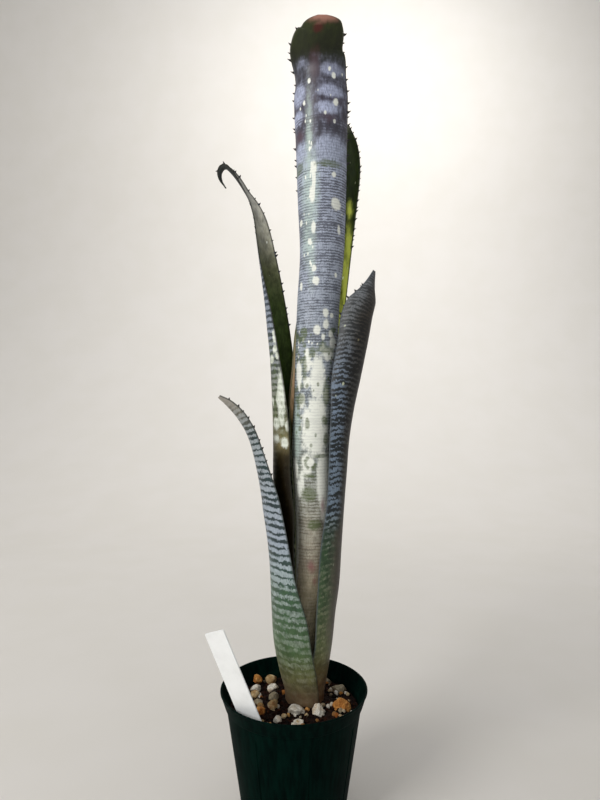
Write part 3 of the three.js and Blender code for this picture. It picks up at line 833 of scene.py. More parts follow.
@dataclass
class Leaf:
    """A leaf: a thin rolled blade with spines on its margins."""

    node: str
    stations: list[tuple[float, ...]]
    finish: LeafFinish
    periods: tuple[tuple[float, float], ...]
    spines: Spines
    zones: tuple[Zone, ...]
    marks: tuple[Mark, ...] = ()
    speckles: tuple[Speckles, ...] = ()
    pitch: float = 1.1
    blunt: float = 0.0
    crease: tuple[float, float] = (0.0, 0.0)

    def build(self) -> Thing:
        """Makes the leaf, which stands for its CAD node.

        Returns:
            The new object.
        """
        sections, along = self.sections()
        surface = Surface.join([self.blade_surface(sections, along), self.spine_surface()])
        return make_piece(self.node + "_skin", surface, self.finish.build(), [self.node])

    def sections(self) -> tuple[Sections, Array]:
        """Sections an even distance apart along the midrib, and that distance from the foot.

        Over the blunt end the half width shrinks as a quarter of an ellipse: half sqrt(1 - t²).

        Returns:
            The sections and the distances.
        """
        stations = np.array(self.stations)
        dense = np.linspace(0, len(stations) - 1, PATH_SAMPLES)
        length = path_length(Sections.at(stations, dense).point)
        rows = int(length[-1] / self.pitch) + 1
        along = np.linspace(0, length[-1], rows)
        sections = Sections.at(stations, np.interp(along, length, dense))
        if self.blunt:
            past = np.clip((along - along[-1] + self.blunt) / self.blunt, 0, 0.97)
            sections = replace(sections, half=sections.half * np.sqrt(1 - past**2))
        return sections, along

    def blade_surface(self, sections: Sections, along: Array) -> Surface:
        """The blade: back and face from margin to margin, with a rounded rim and closed ends.

        Args:
            sections: Its cross-sections.
            along: Distance of each from the leaf's foot.

        Returns:
            One closed surface with its values.
        """
        columns = int(2 * sections.half.max() / self.pitch) + 2
        share = np.linspace(-1, 1, columns)
        thickness = LEAF_THICKNESS * (1 - MARGIN_THINNING * share**2)
        back, normal, edge = sections.spread(share, 0 * thickness)
        inner, _, _ = sections.spread(share, thickness)
        bulge = RIM_BULGE * thickness[0]
        right = (back[:, -1:] + inner[:, -1:]) / 2 + bulge * edge[:, -1:]
        left = (back[:, :1] + inner[:, :1]) / 2 - bulge * edge[:, :1]
        points = np.concatenate([back, right, inner[:, ::-1], left], axis=1)
        shares = np.concatenate([share, [1], share[::-1], [-1]])
        side = np.concatenate([np.zeros(columns), [0.5], np.ones(columns), [0.5]])
        normals = np.concatenate([normal, edge[:, -1:], -normal[:, ::-1], -edge[:, :1]], axis=1)
        surface = strip(points)
        surface.values = self.values(sections, along, surface.points, normals.reshape(-1, 3), shares, side)
        return surface

    def values(
        self, sections: Sections, along: Array, points: Array, normals: Array, shares: Array, side: Array
    ) -> dict[str, Array]:
        """Per-point values that the finish reads.

        The band phase is the sum of step / period along the leaf, plus the crease's slope times the
        distance from its line.

        Args:
            sections: The blade's cross-sections.
            along: Distance of each from the foot.
            points: Its points.
            normals: Their normals.
            shares: Share across of each column of points.
            side: Side of each column, 0 for the back and 1 for the face.

        Returns:
            Places, band phase and each channel's mask, by name.
        """
        rows = len(along)
        height = points[:, 2]
        half = sections.half
        across = (half[:, None] * shares[None, :]).ravel()
        period = np.interp(sections.point[:, 2], *zip(*self.periods))
        phase = np.cumsum(np.gradient(along) / period)
        line, slope = self.crease
        tilt = slope * np.abs(across - line * np.repeat(half, len(shares)))
        low, high = height.min(), height.max()
        edge = (half[:, None] * (1 - np.abs(shares[None, :]))).ravel()
        values = {
            "across": across,
            "along": np.repeat(along, len(shares)),
            "phase": np.repeat(phase, len(shares)) + tilt,
            "rise": (height - low) / (high - low),
            "face": np.tile(side, rows),
            "margin": MARGIN_TONE * (1 - smoothstep(edge, *MARGIN_LINE)),
        }
        towards = smoothstep(-normals[:, 1], -0.1, 0.1)
        skin = Skin(points, np.tile(shares, rows), across, values["face"], towards)
        for channel in Channel:
            values[channel.value] = self.channel(channel, skin)
        return values

    def channel(self, channel: Channel, skin: Skin) -> Array:
        """One channel's mask.

        Args:
            channel: The channel.
            skin: The leaf's points.

        Returns:
            The largest value of its zones, marks and speckles at each point.
        """
        mask = np.zeros(len(skin.points))
        for item in (*self.zones, *self.marks, *self.speckles):
            if item.channel is channel:
                on_side = skin.side if item.side is FACE else 1 - skin.side
                mask = np.maximum(mask, item.cover(skin) * on_side)
        return mask

    def spine_surface(self) -> Surface:
        """The spines: tapered six-sided hooks that rise from roots sunk in both margins.

        Each point is margin + out ((length + root) s - root) + along (base / 2 cos b (1 - s)^0.8
        + hook length s²) + through (thickness / 2 sin b (1 - s)^0.8), for s from 0 to 1 and b round
        the spine. Out is the edge direction turned towards the normal by the lift, and through is the
        normal turned likewise.

        Returns:
            The spines of both margins.
        """
        spines = self.spines
        stations = np.array(self.stations)
        rng = np.random.default_rng(spines.seed)
        last = len(stations) - 1
        dense = np.linspace(spines.low * last, spines.high * last, MARGIN_SAMPLES)
        sections = Sections.at(stations, dense)
        surfaces = []
        for side in (-1.0, 1.0):
            depth = np.array([SPINE_DEPTH * LEAF_THICKNESS])
            points, normals, edges = sections.spread(np.array([side]), depth)
            margin, normal, edge = points[:, 0], normals[:, 0], side * edges[:, 0]
            length = path_length(margin)
            count = int(length[-1] / spines.spacing)
            places = (np.arange(count) + rng.uniform(0.1, 0.9, count)) * spines.spacing
            pick = np.minimum(np.searchsorted(length, places), len(dense) - 2)
            along = unit(margin[pick + 1] - margin[pick])
            size = rng.uniform(0.65, 1.15, count)
            surfaces.append(self.hooks(margin[pick], normal[pick], edge[pick], along, size, side))
        return Surface.join(surfaces)

    def hooks(
        self, margin: Array, normal: Array, edge: Array, along: Array, size: Array, side: float
    ) -> Surface:
        """Spines at given places on one margin.

        Args:
            margin: The places.
            normal: Normal of the leaf's back at each.
            edge: Direction off the margin at each.
            along: Direction along the margin at each.
            size: Scale of each spine.
            side: -1 for the left margin, 1 for the right one.

        Returns:
            One surface, darker towards the points.
        """
        spines = self.spines
        s = np.linspace(0, 1, 6)[None, :, None, None]
        b = even_angles(6)[None, None, :, None]
        scale = size[:, None, None, None]
        taper = np.maximum(1 - s, 0.04) ** 0.8
        reach = (spines.length * scale + spines.root) * s - spines.root
        lengthwise = spines.base / 2 * scale * np.cos(b) * taper + spines.hook * spines.length * scale * s**2
        through = spines.thickness / 2 * np.sin(b) * taper
        lift = math.radians(spines.lift)
        out = (math.cos(lift) * edge + math.sin(lift) * normal)[:, None, None, :]
        level = (math.cos(lift) * normal - math.sin(lift) * edge)[:, None, None, :]
        points = margin[:, None, None, :] + reach * out + through * level
        points = points + lengthwise * along[:, None, None, :]
        count, rows, columns = points.shape[:3]
        starts = (np.arange(count) * rows * columns)[:, None, None]
        quads = (grid_faces(rows, columns, True)[None] + starts).reshape(-1, 4)
        ring_ends = np.stack([np.arange(columns)[::-1], np.arange(columns) + (rows - 1) * columns])
        caps = (ring_ends[None] + starts).reshape(-1, columns)
        if side > 0:
            quads, caps = quads[:, ::-1], caps[:, ::-1]
        flat = points.reshape(-1, 3)
        shade = np.broadcast_to(smoothstep(s, 0.1, 0.45), (count, rows, columns, 1)).ravel()
        values = {"spine": shade, "rise": np.full(len(flat), SPINE_RISE)}
        return Surface(flat, [quads, caps], values)


def leaf_front_tall() -> Leaf:
    """The tall leaf in front: grey-lilac with fine cross lines, cream patches, a pale streak that is partly
    a painted highlight, and a nodding tip whose underside is painted dark olive as painted shade.

    Returns:
        The leaf.
    """
    eye = (
        (11.6 + 3.6 * math.sin(turn), 252.3 + 3.9 * math.cos(turn), 1.4, 1.5, 0.9)
        for turn in np.radians([-150, -110, -75, -35, 110, 150])
    )
    return Leaf(
        node="leaf_front_tall",
        stations=[
            sheath(7.9, 78, 0, 150), ring(100, 8.4, 8, 8.8, 0, 150), ring(122, 8.2, 8, 9.8, 0, 145),
            ring(150, 10, 8, 11.2, -4, 142), ring(190, 13.2, 8, 12.6, -8, 138),
            ring(227, 13.8, 8, 13.8, -10, 132), ring(261, 12.8, 8, 14.6, -12, 126),
            ring(297, 15, 8, 15.1, -12, 118), ring(335, 16.4, 8, 15.3, -12, 108),
            ring(368, 17.8, 8, 15.5, -12, 100), ring(403, 20.3, 8, 16.1, -12, 96),
            ring(440, 20.3, 7.5, 17.6, -12, 90), ring(475, 20.3, 7, 18.8, -12, 82),
            ring(511, 20.1, 6.5, 20.2, -12, 77, 0.3), ring(529, 19.8, 6, 19.5, -11, 73, 0.5),
            blade(16.6, -17.5, 538, 30, 2, 20), blade(19.2, -24, 545.4, 34, 2, 15.8),
            blade(19.2, -29.5, 553.4, 38, 3, 11),
        ],
        finish=LeafFinish(
            name="leaf_front_skin", slot="leaf_cream",
            # Above 0.95 of the height the ground and scurf turn dark olive: painted shade on the underside
            # of the nodding tip.
            ground=(
                "0 8a8260, 0.1 968e6a, 0.17 a3977a, 0.22 8f8474, 0.28 7d786a, 0.36 5e6454, "
                "0.46 4a5156, 0.62 474b56, 0.82 45454f, 0.9 403b48, 0.95 34343a, 0.966 1c210a, "
                "1 2c3410"
            ),
            scurf=(
                "0 c2b894, 0.2 cfc6ac, 0.3 bcbdb4, 0.42 b4bdc2, 0.6 b2bac8, 0.8 b6bfd4, 0.9 bcc4e0, "
                "0.96 989db4, 1 4a4c38"
            ),
            face="0 2b2f1c, 0.6 343b2b, 1 2a3120",
            blush=(
                "0 8a7664, 0.12 94795f, 0.22 9c6868, 0.4 a58c90, 0.8 5a4650, 0.95 4a3c44, "
                "0.975 4c120d, 0.9905 4c120d, 0.993 b98576"
            ),
            # The pale stripe colour is partly the leaf's own streak and partly a painted highlight of glossy
            # light along the tube.
            stripe="b9ccc2", cream="eceee4", green="55623c", margin="55584c", gap=0.42, wobble=0.45,
            breaks=3.0, tear=0.6, seed=3.0,
        ),
        periods=((78, 2.6), (250, 2.2), (330, 2.0), (470, 1.9), (556, 2.4)),
        spines=Spines(0.66, 0.97, 7.4, 11, length=2.5, base=2.6, lift=60.0),
        zones=(
            # Above 535 the scurf drops away, leaving the painted shade of the nodding tip.
            Zone(SCURF, (
                (78, 0.5), (130, 0.55), (205, 0.56), (225, 0.62), (262, 0.55), (300, 0.72), (345, 0.85),
                (462, 0.92), (468, 0.36), (535, 0.36), (541, 0.05),
            )),
            Zone(CREAM, ((148, 0.0), (158, 0.68), (226, 0.68), (240, 0.6), (262, 0.0)), -0.42, 0.19),
            Zone(LINES, (
                (78, 0.3), (150, 0.6), (170, 0.5), (190, 0.8), (225, 0.95), (262, 0.7), (330, 0.75),
                (460, 0.8), (464, 0.25), (481, 0.25), (485, 0.7), (495, 0.7), (497, 0.15), (504, 0.2),
                (507, 0.4), (509, 0.15), (515, 0.15), (519, 0.5), (523, 0.15), (532, 0.2), (536, 0.5),
                (550, 0.3),
            )),
            Zone(GREEN, (
                (78, 0.22), (200, 0.3), (260, 0.18), (300, 0.1), (326, 0.34), (346, 0.3), (356, 0.0),
            )),
        ),
        marks=(
            *marks(
                CREAM, (16.6, 313, 5.2, 17), (16.4, 287, 6.8, 13), (15.0, 271, 9.5, 14),
                (11.0, 280, 5.5, 12), (9.4, 322, 2.4, 6), (24.2, 329, 4.2, 4.6), (27.6, 337, 2.2, 5),
                (9.0, 309, 2.6, 4.0), (20.8, 240, 4.5, 22), (22.6, 222, 3.4, 14), (11.4, 252.5, 3.0, 3.0),
                (3.9, 311, 1.6, 8), (6.0, 240, 2.0, 14, 0.8), (22.8, 300, 1.8, 5), (13.7, 459, 2.1, 5.0),
                (13.9, 449, 1.3, 12), (12.9, 441, 2.1, 6.0), (28.2, 454.5, 1.6, 1.9),
                (29.6, 434.5, 3.3, 4.2), (31.8, 417, 1.1, 3.2), (13.8, 418, 1.5, 4.4),
                (11.2, 408.5, 1.2, 1.9), (14.2, 389.5, 1.6, 2.3), (15.4, 380.5, 2.3, 3.0),
                (5.2, 423, 0.9, 2.2), (5.2, 378, 0.8, 3.2), (29.6, 385, 1.0, 1.7), (22.4, 358, 2.1, 3.0),
                (26.8, 356.5, 1.3, 1.8), (22.6, 350, 2.1, 3.3), (16.3, 346, 2.5, 3.4),
                (26.2, 343.5, 1.8, 2.6), (20.6, 341, 1.4, 2.4), (24.8, 526.8, 1.0, 1.6),
                (27.8, 522.4, 1.4, 2.2), (29.2, 504, 1.7, 2.6), (7.2, 504.5, 0.9, 2.0),
                (21.8, 496, 1.0, 1.6), (10.6, 519, 1.0, 2.0), (28.4, 491, 0.9, 1.4),
            ),
            *marks(
                GREEN, (22.8, 301, 2.4, 8.5), (9.4, 279.5, 1.8, 3.4), (21.8, 282, 2.2, 3.2),
                (22.6, 268.5, 1.7, 4.6), (4.2, 297, 3.4, 4.4), (19.4, 257, 5.0, 1.2),
                (10.6, 230, 5.2, 5.4), (11.0, 243, 4.4, 1.5), (23.4, 333.5, 2.0, 2.2),
                (20.4, 334, 3.0, 4.4), (12.8, 330, 2.4, 4.0), (28.0, 346.5, 2.0, 1.9),
                (14.4, 208, 5.0, 4.0), (22.0, 332, 7.0, 2.2), (25.0, 461.8, 11.0, 3.0, 0.85),
                (3.0, 461.0, 3.6, 4.4, 0.95), (6.5, 341, 3.0, 8, 0.7), (7.5, 318, 2.6, 9, 0.8), *eye,
            ),
            *marks(
                SCURF, (26.5, 526.6, 9, 4.6), (26.0, 511.6, 10, 4.4), (24.0, 499.8, 8, 4.4),
                (26.0, 471.5, 13, 10), (3.5, 512, 4, 8), (2.5, 496, 4, 5), (5.5, 470, 5, 9),
                (2.0, 212, 3, 36), (5.4, 533, 3.8, 3.6, 0.7),
            ),
            # A pale mint streak up the middle, partly the leaf's own streak and partly a painted highlight
            # of glossy light, and one streak low on the left edge.
            *marks(
                STRIPE, (10.6, 476, 2.4, 34, 0.8), (11.6, 444, 5.2, 24), (11.0, 415, 4.2, 22),
                (12.5, 393, 2.6, 16, 0.8), (1.6, 274, 2.6, 19),
            ),
            *marks(
                BLUSH, (19.7, 553.8, 9.5, 3.6), (16.5, 547.8, 3.0, 2.3), (12.4, 178, 3.4, 4.4, 0.8),
                (14.6, 168, 2.0, 4, 0.7), (20.4, 222, 1.6, 7, 0.7), (21.0, 112, 2.4, 22, 0.8),
                (14.4, 528, 3.8, 10, 0.9), (4.4, 483, 2.6, 4.2, 0.9), (25.0, 493, 8.0, 4.4, 0.6),
            ),
        ),
        speckles=(
            Speckles(CREAM, 12, 350, 530, (0.4, 0.8), 5),
            Speckles(CREAM, 30, 340, 552, (0.4, 0.9), 6, side=FACE),
            Speckles(CREAM, 14, 215, 340, (1.5, 4.5), 8, stretch=2.4),
            Speckles(CREAM, 28, 385, 500, (0.3, 0.7), 9, stretch=2.4, within=(-0.36, -0.12)),
            Speckles(CREAM, 36, 294, 346, (0.5, 1.1), 10, within=(-0.5, 0.3)),
            Speckles(GREEN, 46, 268, 350, (0.7, 2.2), 12, stretch=1.3, within=(-0.62, -0.16)),
            Speckles(GREEN, 16, 262, 345, (0.5, 1.2), 13, within=(-0.1, 0.5)),
        ),
        pitch=0.9,
        blunt=5.0,
    )


def leaf_back() -> Leaf:
    """The leaf behind: a dark green face with a yellow-olive stripe that glows with painted light, silver
    bands on its back.

    Returns:
        The leaf.
    """
    return Leaf(
        node="leaf_back",
        stations=[
            sheath(9.8, 75, 180, 150), ring(100, 8.4, 8, 10.8, 180, 150),
            ring(122, 8.2, 8, 12.2, 180, 145), ring(150, 9.6, 8, 13.6, 180, 140),
            ring(190, 12.6, 8.4, 15, 180, 130), ring(227, 13.4, 8.8, 15.8, 180, 120),
            ring(261, 12.8, 9, 16.8, 180, 115), ring(294, 13.6, 9, 18, 180, 110),
            ring(318, 15.6, 9, 17.4, 180, 105), ring(335, 16.8, 9.3, 17.5, 175, 95),
            ring(351, 18.3, 9.8, 17.8, 170, 85), ring(368, 20, 10.3, 18, 165, 78),
            ring(403, 23.6, 11.5, 18.4, 160, 72), ring(440, 27.6, 12.5, 18.8, 156, 68),
            ring(466, 30, 13.3, 18.8, 154, 66, 0.2), ring(485, 29.4, 15.5, 17.5, 154, 63, 0.5),
            blade(33, 34, 497, 15, 155, 15), blade(30, 44, 503.5, 13, 158, 9),
            blade(26.5, 53, 503, 9, 160, 1.5),
        ],
        finish=LeafFinish(
            name="leaf_back_skin", slot="leaf_dark",
            ground="0 5a5334, 0.2 4f5a3a, 0.45 39483c, 1 323f3c",
            scurf="0 96917a, 0.4 9aa3a6, 1 a4adb8",
            face="0 383b1d, 0.5 3a4720, 0.8 34480f, 1 3c4c12",
            blush="0 6b4a34, 0.44 8a6a48, 0.54 c8a684, 0.64 bcbb94, 1 8c6a4a",
            # The stripe and the tan blush strip on the face glow with painted light.
            stripe="c4cc58", painted_glow=0.5, cream="d9dfb6", green="3d5228", margin="4c5230", gap=0.42,
            wobble=0.6, breaks=2.0, seed=11.0,
        ),
        periods=((75, 6.0), (300, 5.0), (504, 4.2)),
        spines=Spines(0.67, 0.985, 5.2, 23, lift=50.0),
        zones=(
            Zone(SCURF, ((75, 0.2), (130, 0.45), (220, 0.75), (480, 0.85), (503, 0.5))),
            Zone(SCURF, ((75, 0.1), (503, 0.16)), side=FACE),
            Zone(LINES, ((75, 0.7), (503, 1.0))),
            Zone(GREEN, ((75, 0.35), (200, 0.3), (260, 0.12), (503, 0.1))),
        ),
        marks=(
            *marks(
                STRIPE, (41.6, 440, 2.0, 7), (40.8, 412, 2.4, 16), (38.4, 380, 3.2, 34),
                (34.6, 340, 3.0, 34), side=FACE,
            ),
            # A light tan strip on both sides; on the face it glows with painted light.
            *marks(BLUSH, (-1.5, 336, 4.5, 50)),
            *marks(BLUSH, (-1.5, 336, 4.5, 50), side=FACE),
        ),
        speckles=(
            Speckles(CREAM, 22, 180, 480, (0.5, 1.6), 31, stretch=2.2, strength=0.85),
            Speckles(GREEN, 30, 390, 500, (0.8, 2.4), 33, side=FACE),
            Speckles(CREAM, 24, 380, 500, (0.3, 0.8), 32, side=FACE),
        ),
    )


def leaf_hooked_left() -> Leaf:
    """The channelled left leaf with a hooked tip: nearly black inside, banded and cream-marked outside.

    Returns:
        The leaf.
    """
    return Leaf(
        node="leaf_hooked_left",
        stations=[
            sheath(11.7, 72, -110, 150), sheath(11.7, 86, -110, 150), ring(100, 8.4, 8, 13, -112, 134),
            ring(122, 7.9, 8, 15.6, -114, 116), ring(143, 7.6, 8, 17.4, -116, 102),
            ring(168, 7.6, 8.2, 19.4, -112, 90), ring(195, 5.5, 8.6, 18.4, -106, 88),
            ring(216, 3, 9, 17, -101, 91), ring(240, -0.4, 9.5, 15, -98, 90),
            ring(262, -0.9, 10, 14.5, -96, 88), ring(283, -1.7, 10.3, 14, -99, 89),
            ring(300, -2.9, 10.6, 13.5, -103, 89), ring(326, -5.2, 11, 12.5, -113, 89),
            ring(350, -8.5, 11, 11.5, -119, 87), ring(371, -11.6, 11, 10.5, -125, 81),
            ring(403, -17.3, 11, 9, -140, 66), ring(427, -22, 11, 7.5, -150, 50, 0.4),
            ring(440, -26.5, 11.5, 6, -145, 43, 0.7), blade(-36.5, 16.5, 450.5, 4, -128, 3.8),
            blade(-44, 15.5, 461, 4, -114, 4.8), blade(-50.5, 15, 467.3, 4, -108, 5),
            blade(-53.6, 15, 464.6, 3.5, -106, 4.2), blade(-53.2, 15, 459, 3.2, -104, 3),
            blade(-50.2, 15, 453.6, 3, -102, 1),
        ],
        finish=LeafFinish(
            name="leaf_hooked_skin", slot="leaf_olive",
            ground=(
                "0 2c2413, 0.3 2e2616, 0.44 3a301a, 0.49 7a7050, 0.54 474f36, 0.67 38413e, "
                "0.8 30384a, 0.94 43474a, 1 3e403e"
            ),
            scurf="0 6f6a50, 0.5 a09d86, 0.7 9aa2b0, 1 9b9e9c",
            # Towards the top the face turns light grey: a painted sheen of light off the upper inside of the
            # channel.
            face=(
                "0 1c1f10, 0.35 2a3612, 0.6 405420, 0.74 4c5c2e, 0.81 66694c, 0.87 a3a191, "
                "0.95 bdbab0, 1 a0a09a"
            ),
            blush="0 5a3a2a, 1 8a6a55",
            stripe="8c9384", cream="e4e8dc", green="5f7040", margin="33322a", shade="8a8270", gloss=0.12,
            gap=0.5, breaks=1.4, seed=19.0,
        ),
        periods=((72, 5.0), (270, 4.6), (385, 4.4), (468, 3.0)),
        spines=Spines(0.56, 0.95, 8.4, 37),
        zones=(
            Zone(SCURF, ((72, 0.3), (262, 0.3), (275, 0.5), (330, 0.75), (445, 0.85), (457, 0.15))),
            Zone(SCURF, ((72, 0.5), (262, 0.62), (285, 0.0)), 0.0, 0.9),
            Zone(SCURF, ((72, 0.0), (385, 0.1), (410, 0.35), (468, 0.3)), side=FACE),
            Zone(LINES, ((72, 0.6), (330, 0.9), (468, 1.0))),
            Zone(LINES, ((72, 0.4), (468, 0.5)), side=FACE),
            Zone(GREEN, ((72, 0.3), (262, 0.3), (272, 0.42), (335, 0.42), (350, 0.1))),
            Zone(CREAM, ((262, 0.0), (272, 0.28), (340, 0.3), (350, 0.0))),
            # Painted shade over the lower back towards the right margin, beside the dark gap to the front
            # leaf, partly the sheath's own dark brown.
            Zone(PAINTED_SHADE, ((72, 0.8), (150, 0.9), (255, 0.9), (266, 0.0)), 0.75, 0.6),
        ),
        marks=marks(
            CREAM, (-9.0, 300, 2.9, 20), (-13.9, 333, 1.6, 3.2), (-16.0, 326, 1.3, 2.7),
            (-12.8, 279.5, 2.3, 4.4), (-12.8, 269, 3.0, 4.0, 0.8), (-6.6, 266, 2.6, 3.6),
            (-14.5, 345, 1.4, 2.2),
        ),
        speckles=(
            Speckles(CREAM, 30, 270, 350, (0.8, 2.2), 41, stretch=1.8),
            Speckles(CREAM, 30, 240, 420, (0.3, 0.7), 42, side=FACE),
        ),
    )


def leaf_right() -> Leaf:
    """The right leaf: slate with thin wavy silver-blue bands that meet in a shallow V.

    Returns:
        The leaf.
    """
    return Leaf(
        node="leaf_right",
        stations=[
            sheath(13.5, 69, 95, 115), sheath(13.5, 85, 95, 110), ring(100, 8.4, 8, 16.2, 95, 95),
            ring(121, 8.2, 8, 19.6, 90, 72), ring(143, 8.6, 8, 21.5, 86, 67),
            ring(165, 10, 8, 23, 82, 65), ring(194, 13.8, 8, 21, 78, 64), ring(222, 18.7, 8, 18, 76, 62),
            ring(245, 22.4, 7, 16, 72, 65), ring(268, 25.1, 6, 15, 66, 66),
            ring(290, 28.9, 5, 14.5, 58, 70), ring(312, 34, 4, 14, 47, 80),
            ring(338, 39.2, 3, 14, 42, 80), ring(356, 42.2, 3, 14.2, 40, 79, 0.5),
            blade(54.6, -7.5, 367, 13.5, 44, 15.5), blade(56, -4.6, 377.5, 8, 50, 7.4),
            blade(57.6, -2, 388.5, 5, 56, 1.6),
        ],
        finish=LeafFinish(
            name="leaf_right_skin", slot="leaf_slate",
            ground=(
                "0 5c3220, 0.08 6a5236, 0.16 586039, 0.26 374d2d, 0.4 283f2a, 0.46 1c2426, "
                "0.82 212427, 0.9 36393a, 1 4c4e50"
            ),
            scurf="0 9a9070, 0.2 9c9c78, 0.38 98a088, 0.47 8294a6, 0.75 78879a, 0.86 6a6d70, 1 7c8084",
            face="0 26301a, 0.7 3a4443, 0.93 7f909c, 1 8c9ca6",
            blush="0 6a3a2a, 0.12 6f5a42, 0.2 5a5346, 1 544f46",
            stripe="6f7f8f", cream="c9d0b4", green="33502a", margin="4a5056", shade="9a8a76",
            thinning=0.06, gap=0.56, wobble=0.75, breaks=2.6, seed=27.0,
        ),
        periods=((69, 4.6), (200, 4.0), (330, 3.5), (350, 2.4), (389, 2.0)),
        spines=Spines(0.62, 0.975, 5.6, 41, length=2.0, lift=40.0),
        zones=(
            Zone(SCURF, ((69, 0.4), (150, 0.44), (205, 0.46), (215, 0.85), (389, 0.85))),
            Zone(SCURF, ((120, 0.2), (150, 0.8), (212, 0.85), (389, 0.85)), 0.55, 0.6),
            Zone(SCURF, ((69, 0.2), (340, 0.5), (389, 0.8)), side=FACE),
            Zone(LINES, ((69, 0.8), (200, 1.0), (389, 1.0))),
            Zone(LINES, ((69, 0.4), (389, 0.4)), side=FACE),
            Zone(GREEN, ((69, 0.3), (150, 0.46), (204, 0.42), (214, 0.0)), -1.0, 0.55),
            Zone(BLUSH, ((69, 0.9), (95, 0.7), (115, 0.4), (135, 0.0)), 0.3, 0.8),
            Zone(BLUSH, ((105, 0.0), (130, 0.74), (202, 0.74), (214, 0.0)), -0.1, 0.8),
            # Painted shade, tinted brown-grey: the right side, turned from the light, and the lower right
            # are darkened, partly the leaf's own duller colour.
            Zone(PAINTED_SHADE, ((69, 0.6), (200, 1.1), (240, 1.2), (355, 1.0), (389, 0.3)), 0.2, 0.85),
            Zone(PAINTED_SHADE, ((90, 0.0), (130, 0.9), (204, 0.9), (216, 0.0)), -0.05, 0.6),
        ),
        speckles=(Speckles(CREAM, 10, 150, 350, (0.4, 1.0), 51),),
        crease=(-0.62, 0.07),
    )


def leaf_low_left() -> Leaf:
    """The outermost leaf, low on the left: broad silver bands on dark green, brown at its base.

    Returns:
        The leaf.
    """
    return Leaf(
        node="leaf_low_left",
        stations=[
            sheath(15.3, 66, -78, 115), sheath(15.3, 85, -76, 112), ring(100, 8.1, 8, 18.6, -75, 101),
            ring(121, 7.5, 8, 22.2, -75, 88), ring(143, 7.4, 8, 23.7, -75, 79),
            ring(168, 7.4, 8, 24.7, -75, 61.5), ring(185, 7.2, 8, 25.6, -74, 53.5),
            ring(200, 5.5, 7.5, 25.6, -73, 50), ring(216, 1.6, 6.5, 24, -71, 48),
            ring(229, -2, 6, 22, -70, 46.5), ring(245, -7.5, 4.5, 19.2, -68, 41, 0.3),
            ring(262, -14.3, 3, 16.2, -66, 36.5, 0.7), blade(-33.5, -4.2, 274, 14, -64, 9.6),
            blade(-40, -5, 284.5, 12, -62, 9.2), blade(-47, -5.6, 292.5, 9, -58, 7),
            blade(-53.4, -6, 298.5, 5, -52, 2.8),
        ],
        finish=LeafFinish(
            name="leaf_low_skin", slot="leaf_silver",
            ground=(
                "0 76664e, 0.08 7a6c50, 0.15 6a6a44, 0.22 4c5f3a, 0.34 30492f, 0.46 264238, "
                "0.56 172a2c, 0.88 1c3030, 0.96 6a675c, 1 8a867c"
            ),
            scurf=(
                "0 9a8c78, 0.12 a39a80, 0.2 a4ae98, 0.3 b0bab2, 0.45 a9b6b8, 0.56 abb6c4, "
                "0.9 a4abae, 1 98948a"
            ),
            face="0 1b2214, 0.5 233022, 1 3a4238",
            blush="0 5c3d2a, 0.5 6a5a44, 1 97928a",
            stripe="8a9a88", cream="cfd5c0", green="3d5e3a", margin="2a2f28", gap=0.45, wobble=0.5,
            breaks=2.0, seed=35.0,
        ),
        periods=((66, 5.6), (150, 5.4), (205, 5.0), (230, 4.6), (250, 4.2), (299, 3.6)),
        spines=Spines(0.66, 0.985, 6.4, 53),
        zones=(
            Zone(SCURF, (
                (66, 0.44), (95, 0.44), (112, 0.46), (150, 0.55), (178, 0.75), (200, 0.95), (299, 0.9),
            )),
            Zone(SCURF, ((66, 0.1), (299, 0.4)), side=FACE),
            Zone(LINES, ((66, 0.8), (130, 0.95), (299, 1.0))),
            Zone(LINES, ((66, 0.8), (299, 0.8)), side=FACE),
            Zone(GREEN, ((66, 0.0), (112, 0.2), (122, 0.5), (165, 0.45), (180, 0.1), (299, 0.1))),
            Zone(GREEN, ((66, 0.0), (170, 0.3), (190, 0.75), (280, 0.7), (292, 0.1)), -0.6, 0.3),
            Zone(BLUSH, ((66, 0.75), (88, 0.5), (98, 0.1), (285, 0.0), (294, 0.6), (299, 0.9))),
        ),
    )


# Pot, mix and label


@dataclass(frozen=True)
class PotFinish:
    """Dark green moulded plastic: semi-gloss, with faint flow lines and dust near the rim."""

    deep: str = "010b09"
    light: str = "021813"
    dust: str = "222c28"
    dusty_above: float = 70.0
    rim_level: float = 92.0
    dustiness: float = 0.16
    relief_depth: float = 0.12
    gloss: float = 0.015

    def build(self) -> Material:
        """Makes the material on Object coordinates.

        Returns:
            The material.
        """
        material, graph, shader = new_material("pot_plastic")
        place = graph.place()
        x, y, z = graph.add("SeparateXYZ", {0: place}).outputs
        grain = graph.group(GRAIN, {"Vector": place, "Scale": 0.05, "Fineness": 30.0})
        flow = graph.noise(graph.vector(x, y, graph.times(z, 0.06)), 0.35)
        colour = graph.mix(graph.step(flow, 0.3, 0.7), self.deep, self.light)
        high = graph.step(z, self.dusty_above, self.rim_level)
        dusty = graph.times(graph.times(high, graph.step(grain["Fine"], 0.52, 0.75)), self.dustiness)
        relief = graph.times(flow, 0.3, graph.times(grain["Fine"], 0.4))
        graph.feed(shader, {
            "Base Color": graph.mix(dusty, colour, self.dust),
            "Roughness": graph.times(grain["Coarse"], 0.2, 0.45),
            "Normal": graph.bump(relief, self.relief_depth, 0.5), "Specular IOR Level": self.gloss,
        })
        return material


